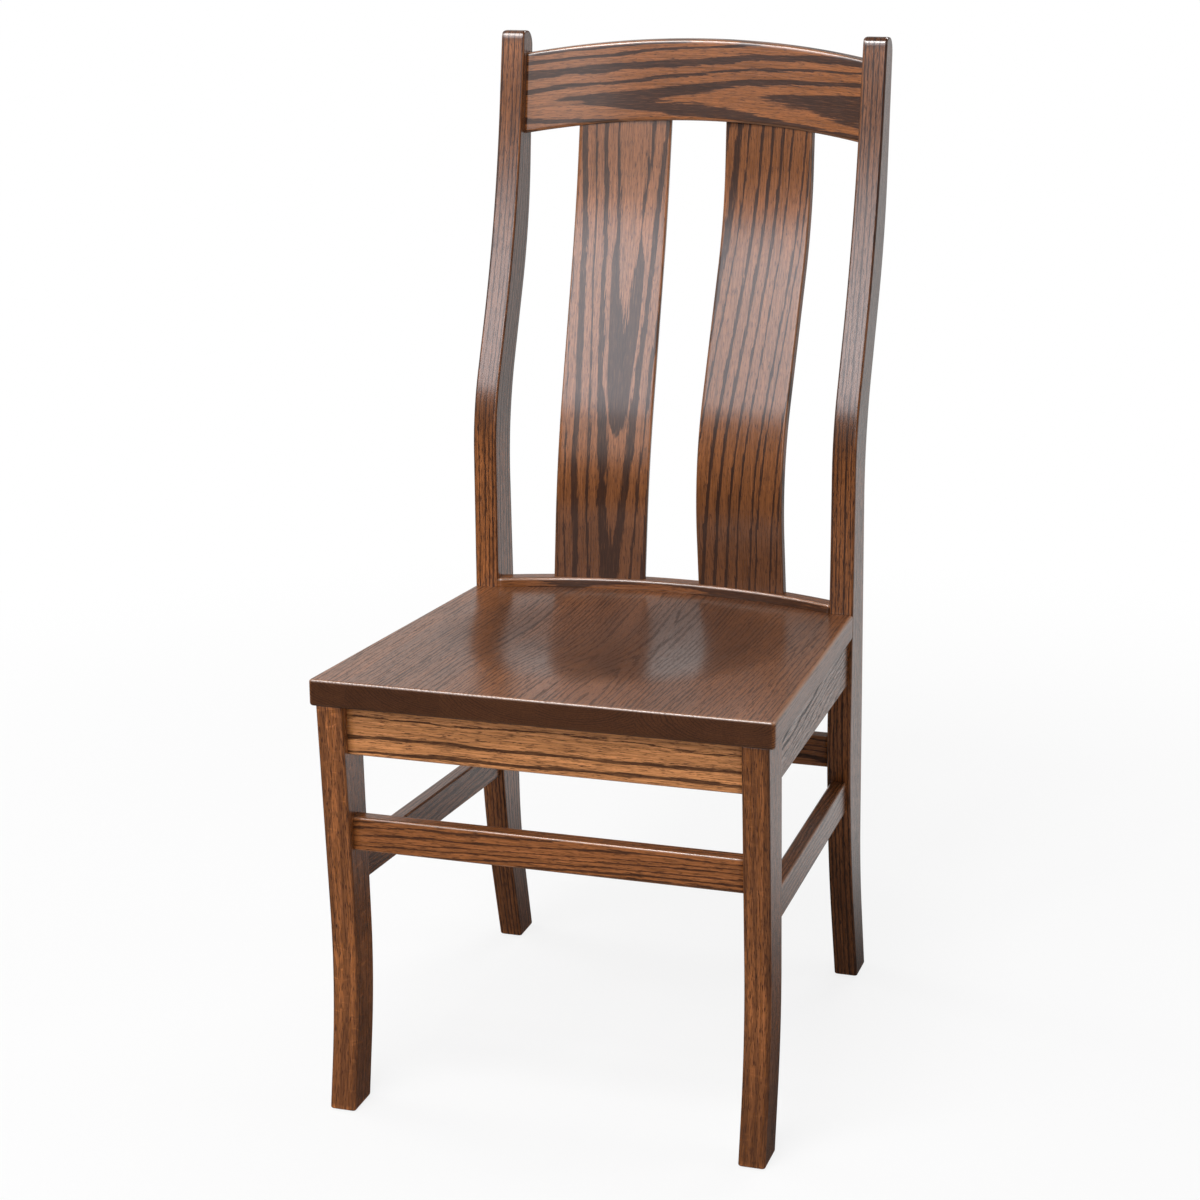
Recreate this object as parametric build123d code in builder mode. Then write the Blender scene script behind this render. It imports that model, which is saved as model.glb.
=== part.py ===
"""Wooden dining chair with a hollowed plank seat and two bent slats in a bowed back.

Millimetres, +Z up, the front towards -Y, the origin on the floor under the middle of the chair.
Heights are measured up from the floor and depths back from the seat's front edge.
"""
from build123d import *
import os
from dataclasses import dataclass
from math import cos, hypot, radians, sin, sqrt, tan

# Seat, and the hollow in its top
seat_height = 457.0
seat_slope = 2.3
seat_depth = 418.0
seat_thickness = 27.0
seat_side_overhang = 6.0
seat_corner_radius = 4.0
seat_ease = 2.5
dish_front_margin = 92.0
dish_back_margin = 36.0
dish_depth = 10.0
dish_rim_round = 400.0

# Rear posts, with the corners of their side outline behind the seat's back edge before rounding
post_height = 1033.0
post_spread = 425.0
post_width = 26.0
post_foot_front = 60.0
post_foot_back = 100.5
post_knee_height = 203.0
post_heel_height = 131.0
post_heel_back = 65.8
post_bend_height = 613.0
post_bend_back_height = 623.0
post_bend_back = 45.4
post_shoulder_height = 837.0
post_shoulder_front = 83.8
post_shoulder_back_height = 824.0
post_shoulder_back = 125.0
post_top_front = 113.2
post_top_back = 143.8
post_knee_round = 900.0
post_heel_round = 500.0
post_bend_round = 150.0
post_bend_back_round = 320.0
post_shoulder_round = 800.0
post_shoulder_back_round = 480.0
post_top_front_round = 8.0
post_top_back_round = 17.0

# Front legs, with the corners of their side outline behind the seat's front edge before rounding
leg_spread = 453.0
leg_width = 27.0
leg_top_front = 2.5
leg_top_back = 53.0
leg_knee_height = 126.0
leg_knee_front = 25.7
leg_knee_back = 66.6
leg_foot_front = 3.0
leg_foot_back = 45.5
leg_front_round = 650.0
leg_back_round = 600.0

# Easing of the long edges of posts and legs, and rounding of their feet
post_ease = 2.5
foot_round = 3.0

# Aprons under the seat
apron_thickness = 18.0
apron_height = 51.5
apron_ease = 2.0
front_apron_setback = 13.5
rear_apron_setback = 22.0

# Stretchers between the legs, with the side ones parallel to the seat
stretcher_thickness = 17.0
stretcher_height = 35.0
stretcher_ease = 2.5
front_stretcher_top = 310.5
front_stretcher_depth = 23.0
side_stretcher_top = 267.3
rear_stretcher_top = 297.5
rear_stretcher_setback = 12.0

# Lower back rail, bowed in plan, with its top above the seat
lower_rail_reveal = 9.0
lower_rail_height = 32.0
lower_rail_thickness = 21.0
lower_rail_bow = 37.0
lower_rail_ease = 2.0

# Crest rail, bowed in plan and arched in front view, with its ends below the tops of the posts
crest_drop = 24.0
crest_height = 85.5
crest_thickness = 20.0
crest_rise = 15.5
crest_bow = 26.0
crest_lean = 7.0
crest_setback = 13.5

# Back slats, bent forward and then back from the line between their ends
slat_centre = 80.0
slat_width = 101.0
slat_thickness = 10.0
slat_turn = 10.0
slat_belly_height = 128.0
slat_belly = 30.0
slat_belly_round = 400.0
slat_shoulder_drop = 98.0
slat_shoulder = 8.6
slat_shoulder_round = 500.0
slat_wall = 4.0
slat_slot_depth = 14.0
slat_ease = 2.0

# Tenons
tenon_length = 16.0
tenon_thickness = 9.0
tenon_shoulder = 6.0
glue_gap = 0.2

# Corner blocks of the seat frame: distance from the corner, and length of each face against an apron
block_height = 25.0
block_reach = 78.0
block_face = 44.0

# Screws that hold the blocks to the aprons and the seat to the blocks
screw_radius = 2.1
screw_head_radius = 4.2
screw_head_height = 2.8
screw_point_length = 4.0
screw_room = 0.15
screw_head_room = 0.6
apron_screw_length = 28.0
apron_screw_grip = 15.0
seat_screw_length = 42.0

# Longer than the chair in every direction, for cuts right through
reach = 3.0 * post_height

# Share of a straight run that the bends at its two ends may take up together
bend_room = 0.98

# Places that follow from the sizes above
post_outer = post_spread / 2
post_inner = post_outer - post_width
post_centre = post_outer - post_width / 2
leg_outer = leg_spread / 2
leg_inner = leg_outer - leg_width
leg_centre = leg_outer - leg_width / 2
seat_front_half = leg_outer + seat_side_overhang
seat_drop = tan(radians(seat_slope))
crest_tilt = tan(radians(crest_lean))
lower_rail_top = seat_height - seat_drop * seat_depth + lower_rail_reveal
front_apron_depth = leg_top_front + front_apron_setback
rear_apron_depth = seat_depth + rear_apron_setback
rear_stretcher_depth = seat_depth + rear_stretcher_setback
crest_end_top = post_height - crest_drop
crest_end_middle = crest_end_top - crest_height / 2
crest_end_bottom = crest_end_top - crest_height
crest_middle_top = crest_end_top + crest_rise


def between(height, low, high):
    """Depth at a height on the straight line between two (depth, height) points."""
    return low[0] + (high[0] - low[0]) * (height - low[1]) / (high[1] - low[1])


def arc_rise(offset, half_span, rise):
    """Height of a circular arc over its chord at an offset from the chord's middle."""
    radius = (half_span**2 + rise**2) / (2 * rise)
    return sqrt(radius**2 - offset**2) - (radius - rise)


# The crest's ends are set back from the posts' front, and its bowed middle is the chair's rearmost point.
post_shoulder_point = (seat_depth + post_shoulder_front, post_shoulder_height)
post_top_point = (seat_depth + post_top_front, post_height)
crest_depth = between(crest_end_middle, post_shoulder_point, post_top_point) + crest_setback
crest_bowed_back = crest_depth + (crest_bow + crest_thickness) / cos(radians(crest_lean))
overall_depth = crest_bowed_back + (crest_middle_top - crest_end_middle) * crest_tilt
front = -overall_depth / 2


def under_seat(depth):
    """Height of the seat's underside at a depth."""
    return seat_height - seat_thickness / cos(radians(seat_slope)) - seat_drop * depth


def side_plane(x):
    """Upright plane at a place in the chair's width: right is depth, up is height."""
    return Plane(origin=(x, front, 0), x_dir=(0, 1, 0), z_dir=(1, 0, 0))


def front_plane(depth):
    """Upright plane at a depth, seen from the front: right is the chair's width, up is height."""
    return Plane(origin=(0, front + depth, 0), x_dir=(1, 0, 0), z_dir=(0, -1, 0))


def level_plane(depth, height):
    """Level plane: right is the chair's width, up is to the back from a depth."""
    return Plane(origin=(0, front + depth, height), x_dir=(1, 0, 0), z_dir=(0, 0, 1))


def sloped_plane(depth, height, slope):
    """Plane that falls towards the back by a slope: right is the chair's width, up is to the back."""
    normal = (0, sin(radians(slope)), cos(radians(slope)))
    return Plane(origin=(0, front + depth, height), x_dir=(1, 0, 0), z_dir=normal)


seat_plane = sloped_plane(0, under_seat(0), seat_slope)
crest_plane = sloped_plane(crest_depth, crest_end_middle, crest_lean)


def fitted_radii(corners):
    """Bend radii of (across, up, radius) corners, smaller where two bends have no room on a run."""
    points = [Vector(across, up) for across, up, _ in corners]
    runs = [point - points[i - 1] for i, point in enumerate(points)]
    next_runs = runs[1:] + runs[:1]
    reaches = []
    for (_, _, radius), run, next_run in zip(corners, runs, next_runs):
        reaches.append(radius * tan(radians(run.get_angle(next_run)) / 2))
    shares = []
    for i, run in enumerate(runs):
        need = max(reaches[i - 1] + reaches[i], run.length * bend_room)
        shares.append(run.length * bend_room / need)
    next_shares = shares[1:] + shares[:1]
    return [corner[2] * min(pair) for corner, *pair in zip(corners, shares, next_shares)]


def rounded_outline(plane, corners, gap):
    """Closed outline through (depth, height, radius) corners, grown by a gap."""
    with BuildSketch(plane) as outline:
        with BuildLine():
            FilletPolyline(
                *[(depth, height) for depth, height, _ in corners],
                radius=fitted_radii(corners),
                close=True,
            )
        make_face()
        if gap > 0:
            offset(amount=gap)
    return outline.sketch


def post_outline(plane, gap=0.0):
    """Side outline of a rear post: up its front and down its back."""
    corners = [
        (seat_depth + post_foot_front, 0, foot_round),
        (seat_depth, post_knee_height, post_knee_round),
        (seat_depth, post_bend_height, post_bend_round),
        (seat_depth + post_shoulder_front, post_shoulder_height, post_shoulder_round),
        (seat_depth + post_top_front, post_height, post_top_front_round),
        (seat_depth + post_top_back, post_height, post_top_back_round),
        (seat_depth + post_shoulder_back, post_shoulder_back_height, post_shoulder_back_round),
        (seat_depth + post_bend_back, post_bend_back_height, post_bend_back_round),
        (seat_depth + post_heel_back, post_heel_height, post_heel_round),
        (seat_depth + post_foot_back, 0, foot_round),
    ]
    return rounded_outline(plane, corners, gap)


def leg_outline(plane, gap=0.0):
    """Side outline of a front leg: up its front to the seat's underside and down its back."""
    corners = [
        (leg_foot_front, 0, foot_round),
        (leg_knee_front, leg_knee_height, leg_front_round),
        (leg_top_front, under_seat(leg_top_front), 0),
        (leg_top_back, under_seat(leg_top_back), 0),
        (leg_knee_back, leg_knee_height, leg_back_round),
        (leg_foot_back, 0, foot_round),
    ]
    return rounded_outline(plane, corners, gap)


def bar(plane, width, height, start, end, gap=0.0):
    """Straight bar along a plane's normal from start to end, grown by a gap on every side."""
    with BuildPart() as piece:
        with BuildSketch(plane.offset(start - gap)):
            Rectangle(width + 2 * gap, height + 2 * gap)
        extrude(amount=end - start + 2 * gap)
    return piece.part


def seat_layer(low, high):
    """Layer parallel to the seat, between two distances above its underside."""
    with BuildPart() as layer:
        with BuildSketch(seat_plane.offset(low)):
            Rectangle(reach, reach)
        extrude(amount=high - low)
    return layer.part


def tenon_height(rail_height):
    """Height of a tenon that leaves a shoulder above and below it."""
    return rail_height - 2 * tenon_shoulder


@dataclass
class CrossRail:
    """Rail across the chair: front face's depth, underside's height, section, and half its length."""

    depth: float
    bottom: float
    thickness: float
    height: float
    half_length: float

    def plane(self):
        """Plane across the chair's middle, on the middle of the rail's section."""
        origin = (0, front + self.depth + self.thickness / 2, self.bottom + self.height / 2)
        return Plane(origin=origin, x_dir=(0, 1, 0), z_dir=(1, 0, 0))

    def body(self):
        """Rail between its shoulders."""
        return bar(self.plane(), self.thickness, self.height, -self.half_length, self.half_length)

    def tenon(self, gap=0.0):
        """Core of the rail that runs into the legs or posts at both ends."""
        end = self.half_length + tenon_length
        return bar(self.plane(), tenon_thickness, tenon_height(self.height), -end, end, gap)


def cross_apron(depth, half_length):
    """Apron across the chair, under the seat."""
    bottom = under_seat(depth) - apron_height
    return CrossRail(depth, bottom, apron_thickness, apron_height, half_length)


def cross_stretcher(depth, top, half_length):
    """Stretcher across the chair."""
    bottom = top - stretcher_height
    return CrossRail(depth, bottom, stretcher_thickness, stretcher_height, half_length)


front_rails = {
    "front_apron": cross_apron(front_apron_depth, leg_inner),
    "front_stretcher": cross_stretcher(front_stretcher_depth, front_stretcher_top, leg_inner),
}
rear_rails = {
    "rear_apron": cross_apron(rear_apron_depth, post_inner),
    "rear_stretcher": cross_stretcher(rear_stretcher_depth, rear_stretcher_top, post_inner),
}

# Side rails run from the middle of a leg's width to the middle of a post's, and fall with the seat.
side_run = seat_depth - leg_top_back
side_splay = (leg_centre - post_centre) / side_run
side_stretch = sqrt(1 + side_splay**2 + seat_drop**2)


def side_rail_x(depth):
    """Distance of a side rail's middle from the chair's middle at a depth."""
    return leg_centre - side_splay * (depth - leg_top_back)


@dataclass
class SideRail:
    """Rail along a side: height of its top at the seat's front edge, and its section."""

    top: float
    thickness: float
    height: float

    def plane(self, side):
        """Plane across the rail at the depth of the leg's top back, with its normal along the rail."""
        direction = Vector(-side * side_splay, 1, -seat_drop).normalized()
        middle = self.top - seat_drop * leg_top_back - self.height / 2 / cos(radians(seat_slope))
        origin = (side * leg_centre, front + leg_top_back, middle)
        return Plane(origin=origin, x_dir=Vector(direction.Y, -direction.X, 0), z_dir=direction)

    def ends(self):
        """Where the rail's tenons end, along it from its plane: in the leg and in the post."""
        leg_top = (leg_top_back, under_seat(leg_top_back))
        leg_knee = (leg_knee_back, leg_knee_height)
        leg_back = between(self.top - self.height / 2, leg_knee, leg_top)
        start = (leg_back - leg_top_back - tenon_length) * side_stretch
        return start, (side_run + tenon_length) * side_stretch

    def blank(self, side):
        """Rail of full section as long as its tenons."""
        return bar(self.plane(side), self.thickness, self.height, *self.ends())

    def tenon(self, side, gap=0.0):
        """Core of the rail that runs into the leg in front and the post behind."""
        return bar(self.plane(side), tenon_thickness, tenon_height(self.height), *self.ends(), gap)


side_rails = {
    "side_apron": SideRail(under_seat(0), apron_thickness, apron_height),
    "side_stretcher": SideRail(side_stretcher_top, stretcher_thickness, stretcher_height),
}


def lower_rail_tenon(side, gap=0.0):
    """Tenon at one end of the lower back rail."""
    middle = lower_rail_top - lower_rail_height / 2
    origin = (0, front + seat_depth + lower_rail_thickness / 2, middle)
    plane = Plane(origin=origin, x_dir=(0, side, 0), z_dir=(side, 0, 0))
    start = post_inner - tenon_shoulder
    end = post_inner + tenon_length
    return bar(plane, tenon_thickness, tenon_height(lower_rail_height), start, end, gap)


def crest_tenon(side, gap=0.0):
    """Tenon at one end of the crest rail, which leans with it."""
    back = crest_plane.y_dir
    origin = crest_plane.origin + back * (crest_thickness / 2)
    plane = Plane(origin=origin, x_dir=back * side, z_dir=(side, 0, 0))
    start = post_inner - tenon_shoulder
    end = post_inner + tenon_length
    return bar(plane, tenon_thickness, tenon_height(crest_height), start, end, gap)


def slat_blank(side, gap=0.0):
    """Bent slat with square edges, grown by a gap on every side, and the plane of its side outline."""
    low = lower_rail_top
    low_depth = seat_depth + arc_rise(slat_centre, post_inner, lower_rail_bow) + slat_wall
    high = crest_end_bottom + arc_rise(slat_centre, post_inner, crest_rise)
    crest_front = crest_depth + (high - crest_end_middle) * crest_tilt
    high_depth = crest_front + arc_rise(slat_centre, post_inner, crest_bow) + slat_wall
    chord = Vector(0, high_depth - low_depth, high - low)
    length = chord.length
    across = Vector(cos(radians(slat_turn)), -side * sin(radians(slat_turn)), 0)
    across = across - chord * (across.dot(chord) / length**2)
    origin = (side * slat_centre, front + low_depth, low)
    plane = Plane(origin=origin, x_dir=chord, z_dir=across)
    low_slope = slat_belly / slat_belly_height
    high_slope = slat_shoulder / slat_shoulder_drop
    bends = [
        (-slat_slot_depth, -slat_slot_depth * low_slope, 0),
        (slat_belly_height, slat_belly, slat_belly_round),
        (length - slat_shoulder_drop, -slat_shoulder, slat_shoulder_round),
        (length + slat_slot_depth, slat_slot_depth * high_slope, 0),
    ]
    with BuildPart() as slat:
        with BuildSketch(plane):
            with BuildLine():
                face_line = FilletPolyline(
                    *[(along, forward) for along, forward, _ in bends],
                    radius=fitted_radii(bends)[1:-1],
                )
                offset(face_line, amount=slat_thickness, side=Side.RIGHT)
            make_face()
            if gap > 0:
                offset(amount=gap, kind=Kind.INTERSECTION)
        extrude(amount=slat_width / 2 + gap, both=True)
    return slat.part, plane


def bowed_strip(plane, bow, thickness):
    """Plan of a bowed rail between the posts, with its front arc's ends on the plane's first axis."""
    with BuildSketch(plane) as strip:
        with BuildLine():
            ThreePointArc((-post_inner, 0), (0, bow), (post_inner, 0))
            Line((post_inner, 0), (post_inner, thickness))
            ThreePointArc((post_inner, thickness), (0, bow + thickness), (-post_inner, thickness))
            Line((-post_inner, thickness), (-post_inner, 0))
        make_face()
    return strip.sketch


def screw(plane, length, room=0.0, head_room=0.0, head_height=screw_head_height):
    """Screw with its head standing on a plane and its shank below it, or the room for one."""
    head_radius = screw_head_radius + head_room
    radius = screw_radius + room
    tip = -length - room
    with BuildPart() as piece:
        with BuildSketch(Plane(origin=plane.origin, x_dir=plane.x_dir, z_dir=-plane.y_dir)):
            with BuildLine():
                Polyline(
                    (0, head_height),
                    (head_radius, head_height),
                    (head_radius, 0),
                    (radius, 0),
                    (radius, tip + screw_point_length),
                    (0, tip),
                    close=True,
                )
            make_face()
        revolve(axis=Axis(plane.origin, plane.z_dir))
    return piece.part


def block_face_x(depth):
    """Distance from the chair's middle of a corner block's face against its side apron."""
    return side_rail_x(depth) - apron_thickness / 2 * hypot(1, side_splay) - glue_gap


@dataclass
class Corner:
    """Corner of the seat frame: side of the chair, way in from the cross apron, and where that apron ends."""

    side: int
    inward: int
    apron_face: float
    apron_end: float

    def points(self):
        """Plan of the corner block: along the cross apron and back along the side apron."""
        depth = self.apron_face + self.inward * glue_gap
        near = depth + self.inward * (block_reach - block_face)
        far = depth + self.inward * block_reach
        return [
            (self.side * (self.apron_end - block_reach), depth),
            (self.side * (self.apron_end - block_reach + block_face), depth),
            (self.side * block_face_x(near), near),
            (self.side * block_face_x(far), far),
        ]

    def seat_screw_plane(self):
        """Underside of the block at its middle, facing down, where the seat screw's head bears."""
        points = self.points()
        x = sum(point[0] for point in points) / len(points)
        depth = sum(point[1] for point in points) / len(points)
        bottom = under_seat(depth) - block_height / cos(radians(seat_slope))
        return Plane(origin=(x, front + depth, bottom), x_dir=(1, 0, 0), z_dir=-seat_plane.z_dir)

    def cross_screw_plane(self):
        """Plane under the head of the screw into the cross apron, facing away from it."""
        points = self.points()
        x = (points[0][0] + points[1][0]) / 2
        depth = points[0][1] + self.inward * apron_screw_grip
        middle = under_seat(depth) - block_height / 2
        return Plane(origin=(x, front + depth, middle), x_dir=(1, 0, 0), z_dir=(0, self.inward, 0))

    def side_screw_plane(self):
        """Plane under the head of the screw into the side apron, facing away from it."""
        points = self.points()
        depth = (points[2][1] + points[3][1]) / 2
        x = self.side * (block_face_x(depth) - apron_screw_grip)
        middle = under_seat(depth) - block_height / 2
        return Plane(origin=(x, front + depth, middle), x_dir=(0, 1, 0), z_dir=(-self.side, 0, 0))


front_apron_back = front_apron_depth + apron_thickness
corner_places = {
    "front_left": Corner(-1, 1, front_apron_back, leg_inner),
    "front_right": Corner(1, 1, front_apron_back, leg_inner),
    "rear_left": Corner(-1, -1, rear_apron_depth, post_inner),
    "rear_right": Corner(1, -1, rear_apron_depth, post_inner),
}


def apron_screw_room(plane):
    """Hole for an apron screw, with a pocket that lets its head in from the block's open side."""
    return screw(plane, apron_screw_length, screw_room, screw_head_room, block_reach)


def seat_screw_room(corner):
    """Hole for a seat screw."""
    return screw(corner.seat_screw_plane(), seat_screw_length, screw_room)


def finish(builder, name):
    """Label a piece and write it under its name."""
    builder.part.label = name
    export_step(builder.part, f"parts/{name}.step")


os.makedirs("parts", exist_ok=True)
sides = {"left": -1, "right": 1}

# Rear posts: side outline, eased edges, then a mortise for each rail
for side_name, side in sides.items():
    with BuildPart() as rear_post:
        extrude(post_outline(side_plane(side * post_centre)), amount=post_width / 2, both=True)
        fillet(rear_post.faces().filter_by(Plane.YZ).edges(), radius=post_ease)
        add(crest_tenon(side, glue_gap), mode=Mode.SUBTRACT)
        add(lower_rail_tenon(side, glue_gap), mode=Mode.SUBTRACT)
        for rail in rear_rails.values():
            add(rail.tenon(glue_gap), mode=Mode.SUBTRACT)
        for rail in side_rails.values():
            add(rail.tenon(side, glue_gap), mode=Mode.SUBTRACT)
    finish(rear_post, f"rear_post_{side_name}")

# Front legs: side outline, eased edges apart from the top, then a mortise for each rail
for side_name, side in sides.items():
    with BuildPart() as front_leg:
        extrude(leg_outline(side_plane(side * leg_centre)), amount=leg_width / 2, both=True)
        top_edges = front_leg.faces().sort_by(Axis.Z)[-1].edges()
        side_edges = front_leg.faces().filter_by(Plane.YZ).edges()
        fillet([edge for edge in side_edges if edge not in top_edges], radius=post_ease)
        for rail in front_rails.values():
            add(rail.tenon(glue_gap), mode=Mode.SUBTRACT)
        for rail in side_rails.values():
            add(rail.tenon(side, glue_gap), mode=Mode.SUBTRACT)
    finish(front_leg, f"front_leg_{side_name}")

# Front and rear aprons, bevelled to the seat's underside and bored for the block screws
for name, inward in (("front_apron", 1), ("rear_apron", -1)):
    rail = (front_rails | rear_rails)[name]
    with BuildPart() as cross_apron_piece:
        add(rail.body())
        bottom_face = cross_apron_piece.faces().sort_by(Axis.Z)[0]
        fillet(bottom_face.edges().filter_by(Axis.X), radius=apron_ease)
        add(rail.tenon())
        add(seat_layer(0, reach), mode=Mode.SUBTRACT)
        for corner in corner_places.values():
            if corner.inward == inward:
                add(apron_screw_room(corner.cross_screw_plane()), mode=Mode.SUBTRACT)
    finish(cross_apron_piece, name)

# Front and rear stretchers
for name in ("front_stretcher", "rear_stretcher"):
    rail = (front_rails | rear_rails)[name]
    with BuildPart() as cross_stretcher_piece:
        add(rail.body())
        fillet(cross_stretcher_piece.edges().filter_by(Axis.X), radius=stretcher_ease)
        add(rail.tenon())
    finish(cross_stretcher_piece, name)

# Side aprons and stretchers, with shoulders cut to the leg's back and the post's front
for name, rail in side_rails.items():
    for side_name, side in sides.items():
        with BuildPart() as side_rail:
            add(rail.blank(side))
            long_edges = side_rail.edges().filter_by(Axis((0, 0, 0), rail.plane(side).z_dir))
            if name == "side_apron":
                fillet(long_edges.sort_by(Axis.Z)[:2], radius=apron_ease)
            else:
                fillet(long_edges, radius=stretcher_ease)
            extrude(leg_outline(side_plane(0), glue_gap), amount=reach, both=True, mode=Mode.SUBTRACT)
            extrude(post_outline(side_plane(0), glue_gap), amount=reach, both=True, mode=Mode.SUBTRACT)
            add(rail.tenon(side))
            if name == "side_apron":
                add(seat_layer(0, reach), mode=Mode.SUBTRACT)
                for corner in corner_places.values():
                    if corner.side == side:
                        add(apron_screw_room(corner.side_screw_plane()), mode=Mode.SUBTRACT)
        finish(side_rail, f"{name}_{side_name}")

# Lower back rail, with a slot for each slat
with BuildPart() as lower_back_rail:
    rail_bottom = level_plane(seat_depth, lower_rail_top - lower_rail_height)
    extrude(bowed_strip(rail_bottom, lower_rail_bow, lower_rail_thickness), amount=lower_rail_height)
    rail_top = lower_back_rail.faces().sort_by(Axis.Z)[-1]
    chamfer(rail_top.edges().filter_by(GeomType.CIRCLE), length=lower_rail_ease)
    for side in sides.values():
        add(lower_rail_tenon(side))
        slat_slot, _ = slat_blank(side, glue_gap)
        add(slat_slot, mode=Mode.SUBTRACT)
finish(lower_back_rail, "lower_back_rail")

# Crest rail: a leaning bowed strip cut to an arched front outline, with a slot for each slat
with BuildPart() as crest_rail:
    extrude(bowed_strip(crest_plane, crest_bow, crest_thickness), amount=2 * crest_height, both=True)
    with BuildSketch(front_plane(crest_depth)):
        with BuildLine():
            ThreePointArc(
                (-post_inner, crest_end_bottom),
                (0, crest_end_bottom + crest_rise),
                (post_inner, crest_end_bottom),
            )
            Line((post_inner, crest_end_bottom), (post_inner, crest_end_top))
            ThreePointArc(
                (post_inner, crest_end_top),
                (0, crest_middle_top),
                (-post_inner, crest_end_top),
            )
            Line((-post_inner, crest_end_top), (-post_inner, crest_end_bottom))
        make_face()
    extrude(amount=reach, both=True, mode=Mode.INTERSECT)
    for side in sides.values():
        add(crest_tenon(side))
        slat_slot, _ = slat_blank(side, glue_gap)
        add(slat_slot, mode=Mode.SUBTRACT)
finish(crest_rail, "crest_rail")

# Back slats, let into the lower rail and the crest, with their long edges eased
for side_name, side in sides.items():
    slat_piece, slat_plane = slat_blank(side)
    with BuildPart() as back_slat:
        add(slat_piece)
        slat_sides = back_slat.faces().filter_by(Axis(slat_plane.origin, slat_plane.z_dir))
        fillet(slat_sides.edges().filter_by(lambda edge: edge.length > 2 * slat_thickness), radius=slat_ease)
    finish(back_slat, f"back_slat_{side_name}")

# Seat: a plank that narrows to the posts, with its back edge along the lower rail and a hollow on top
with BuildPart() as seat:
    seat_back = seat_depth - glue_gap
    with BuildSketch(level_plane(0, 0)):
        with BuildLine():
            Polyline(
                (-post_inner, seat_back),
                (-post_outer, seat_back),
                (-seat_front_half, 0),
                (seat_front_half, 0),
                (post_outer, seat_back),
                (post_inner, seat_back),
            )
            ThreePointArc((post_inner, seat_back), (0, seat_back + lower_rail_bow), (-post_inner, seat_back))
        make_face()
    extrude(amount=2 * seat_height)
    fillet(seat.edges().filter_by(Axis.Z).group_by(Axis.Y)[0], radius=seat_corner_radius)
    add(seat_layer(0, seat_thickness), mode=Mode.INTERSECT)
    for place in (0, -1):
        rim = seat.faces().filter_by(Axis((0, 0, 0), seat_plane.z_dir)).sort_by(Axis.Z)[place].edges()
        eased = rim.filter_by_position(Axis.Y, front - seat_ease, front + seat_back - seat_ease)
        fillet(eased, radius=seat_ease)
    dish_back = seat_back + lower_rail_bow - dish_back_margin
    dish_radius = (dish_back - dish_front_margin) / 2
    dish_centre = (dish_back + dish_front_margin) / 2
    dish_ball = (dish_radius**2 + dish_depth**2) / (2 * dish_depth)
    dish_plane = sloped_plane(dish_centre, seat_height - seat_drop * dish_centre, seat_slope)
    with Locations(dish_plane.offset(dish_ball - dish_depth)):
        Sphere(dish_ball, rotation=(90, 0, 0), mode=Mode.SUBTRACT)
    fillet(seat.edges(Select.LAST), radius=dish_rim_round)
    for corner in corner_places.values():
        add(seat_screw_room(corner), mode=Mode.SUBTRACT)
finish(seat, "seat")

# Corner blocks, each bored for two apron screws and one seat screw
for corner_name, corner in corner_places.items():
    with BuildPart() as corner_block:
        with BuildSketch(level_plane(0, 0)):
            with BuildLine():
                Polyline(*corner.points(), close=True)
            make_face()
        extrude(amount=2 * seat_height)
        add(seat_layer(-block_height, 0), mode=Mode.INTERSECT)
        add(seat_screw_room(corner), mode=Mode.SUBTRACT)
        add(apron_screw_room(corner.cross_screw_plane()), mode=Mode.SUBTRACT)
        add(apron_screw_room(corner.side_screw_plane()), mode=Mode.SUBTRACT)
    finish(corner_block, f"corner_block_{corner_name}")

# Screws, in two groups
with BuildPart() as corner_block_screws:
    for corner in corner_places.values():
        add(screw(corner.cross_screw_plane(), apron_screw_length))
        add(screw(corner.side_screw_plane(), apron_screw_length))
finish(corner_block_screws, "corner_block_screws")

with BuildPart() as seat_screws:
    for corner in corner_places.values():
        add(screw(corner.seat_screw_plane(), seat_screw_length))
finish(seat_screws, "seat_screws")
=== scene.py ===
"""Dining chair of stained oak, with its wooden pieces as smooth surfaces, its finish and a pale studio.

Metres, +Z up, the front towards -Y. Profiles are given in millimetres, with depths measured back from
the seat's front edge and heights up from the floor.
"""
from math import cos, radians, sin, sqrt, tan

import bmesh
import bpy
import numpy as np
from bpy.props import FloatProperty, FloatVectorProperty, PointerProperty
from mathutils import Matrix, Vector


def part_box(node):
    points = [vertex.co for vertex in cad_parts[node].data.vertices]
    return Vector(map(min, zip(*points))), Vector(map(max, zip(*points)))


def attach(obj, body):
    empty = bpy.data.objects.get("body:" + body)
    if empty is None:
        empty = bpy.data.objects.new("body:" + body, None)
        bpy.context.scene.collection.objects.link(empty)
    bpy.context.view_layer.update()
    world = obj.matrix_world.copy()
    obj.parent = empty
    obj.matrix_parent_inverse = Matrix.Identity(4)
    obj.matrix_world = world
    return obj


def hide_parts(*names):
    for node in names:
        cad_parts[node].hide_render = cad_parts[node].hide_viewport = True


bl_info = {
    "name": "Stained oak dining chair",
    "version": (1, 0, 0),
    "blender": (4, 5, 0),
    "location": "View3D > Sidebar > Chair",
    "description": "Dresses a dining chair in stained oak and sets it in a pale studio",
    "category": "Object",
}

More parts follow.
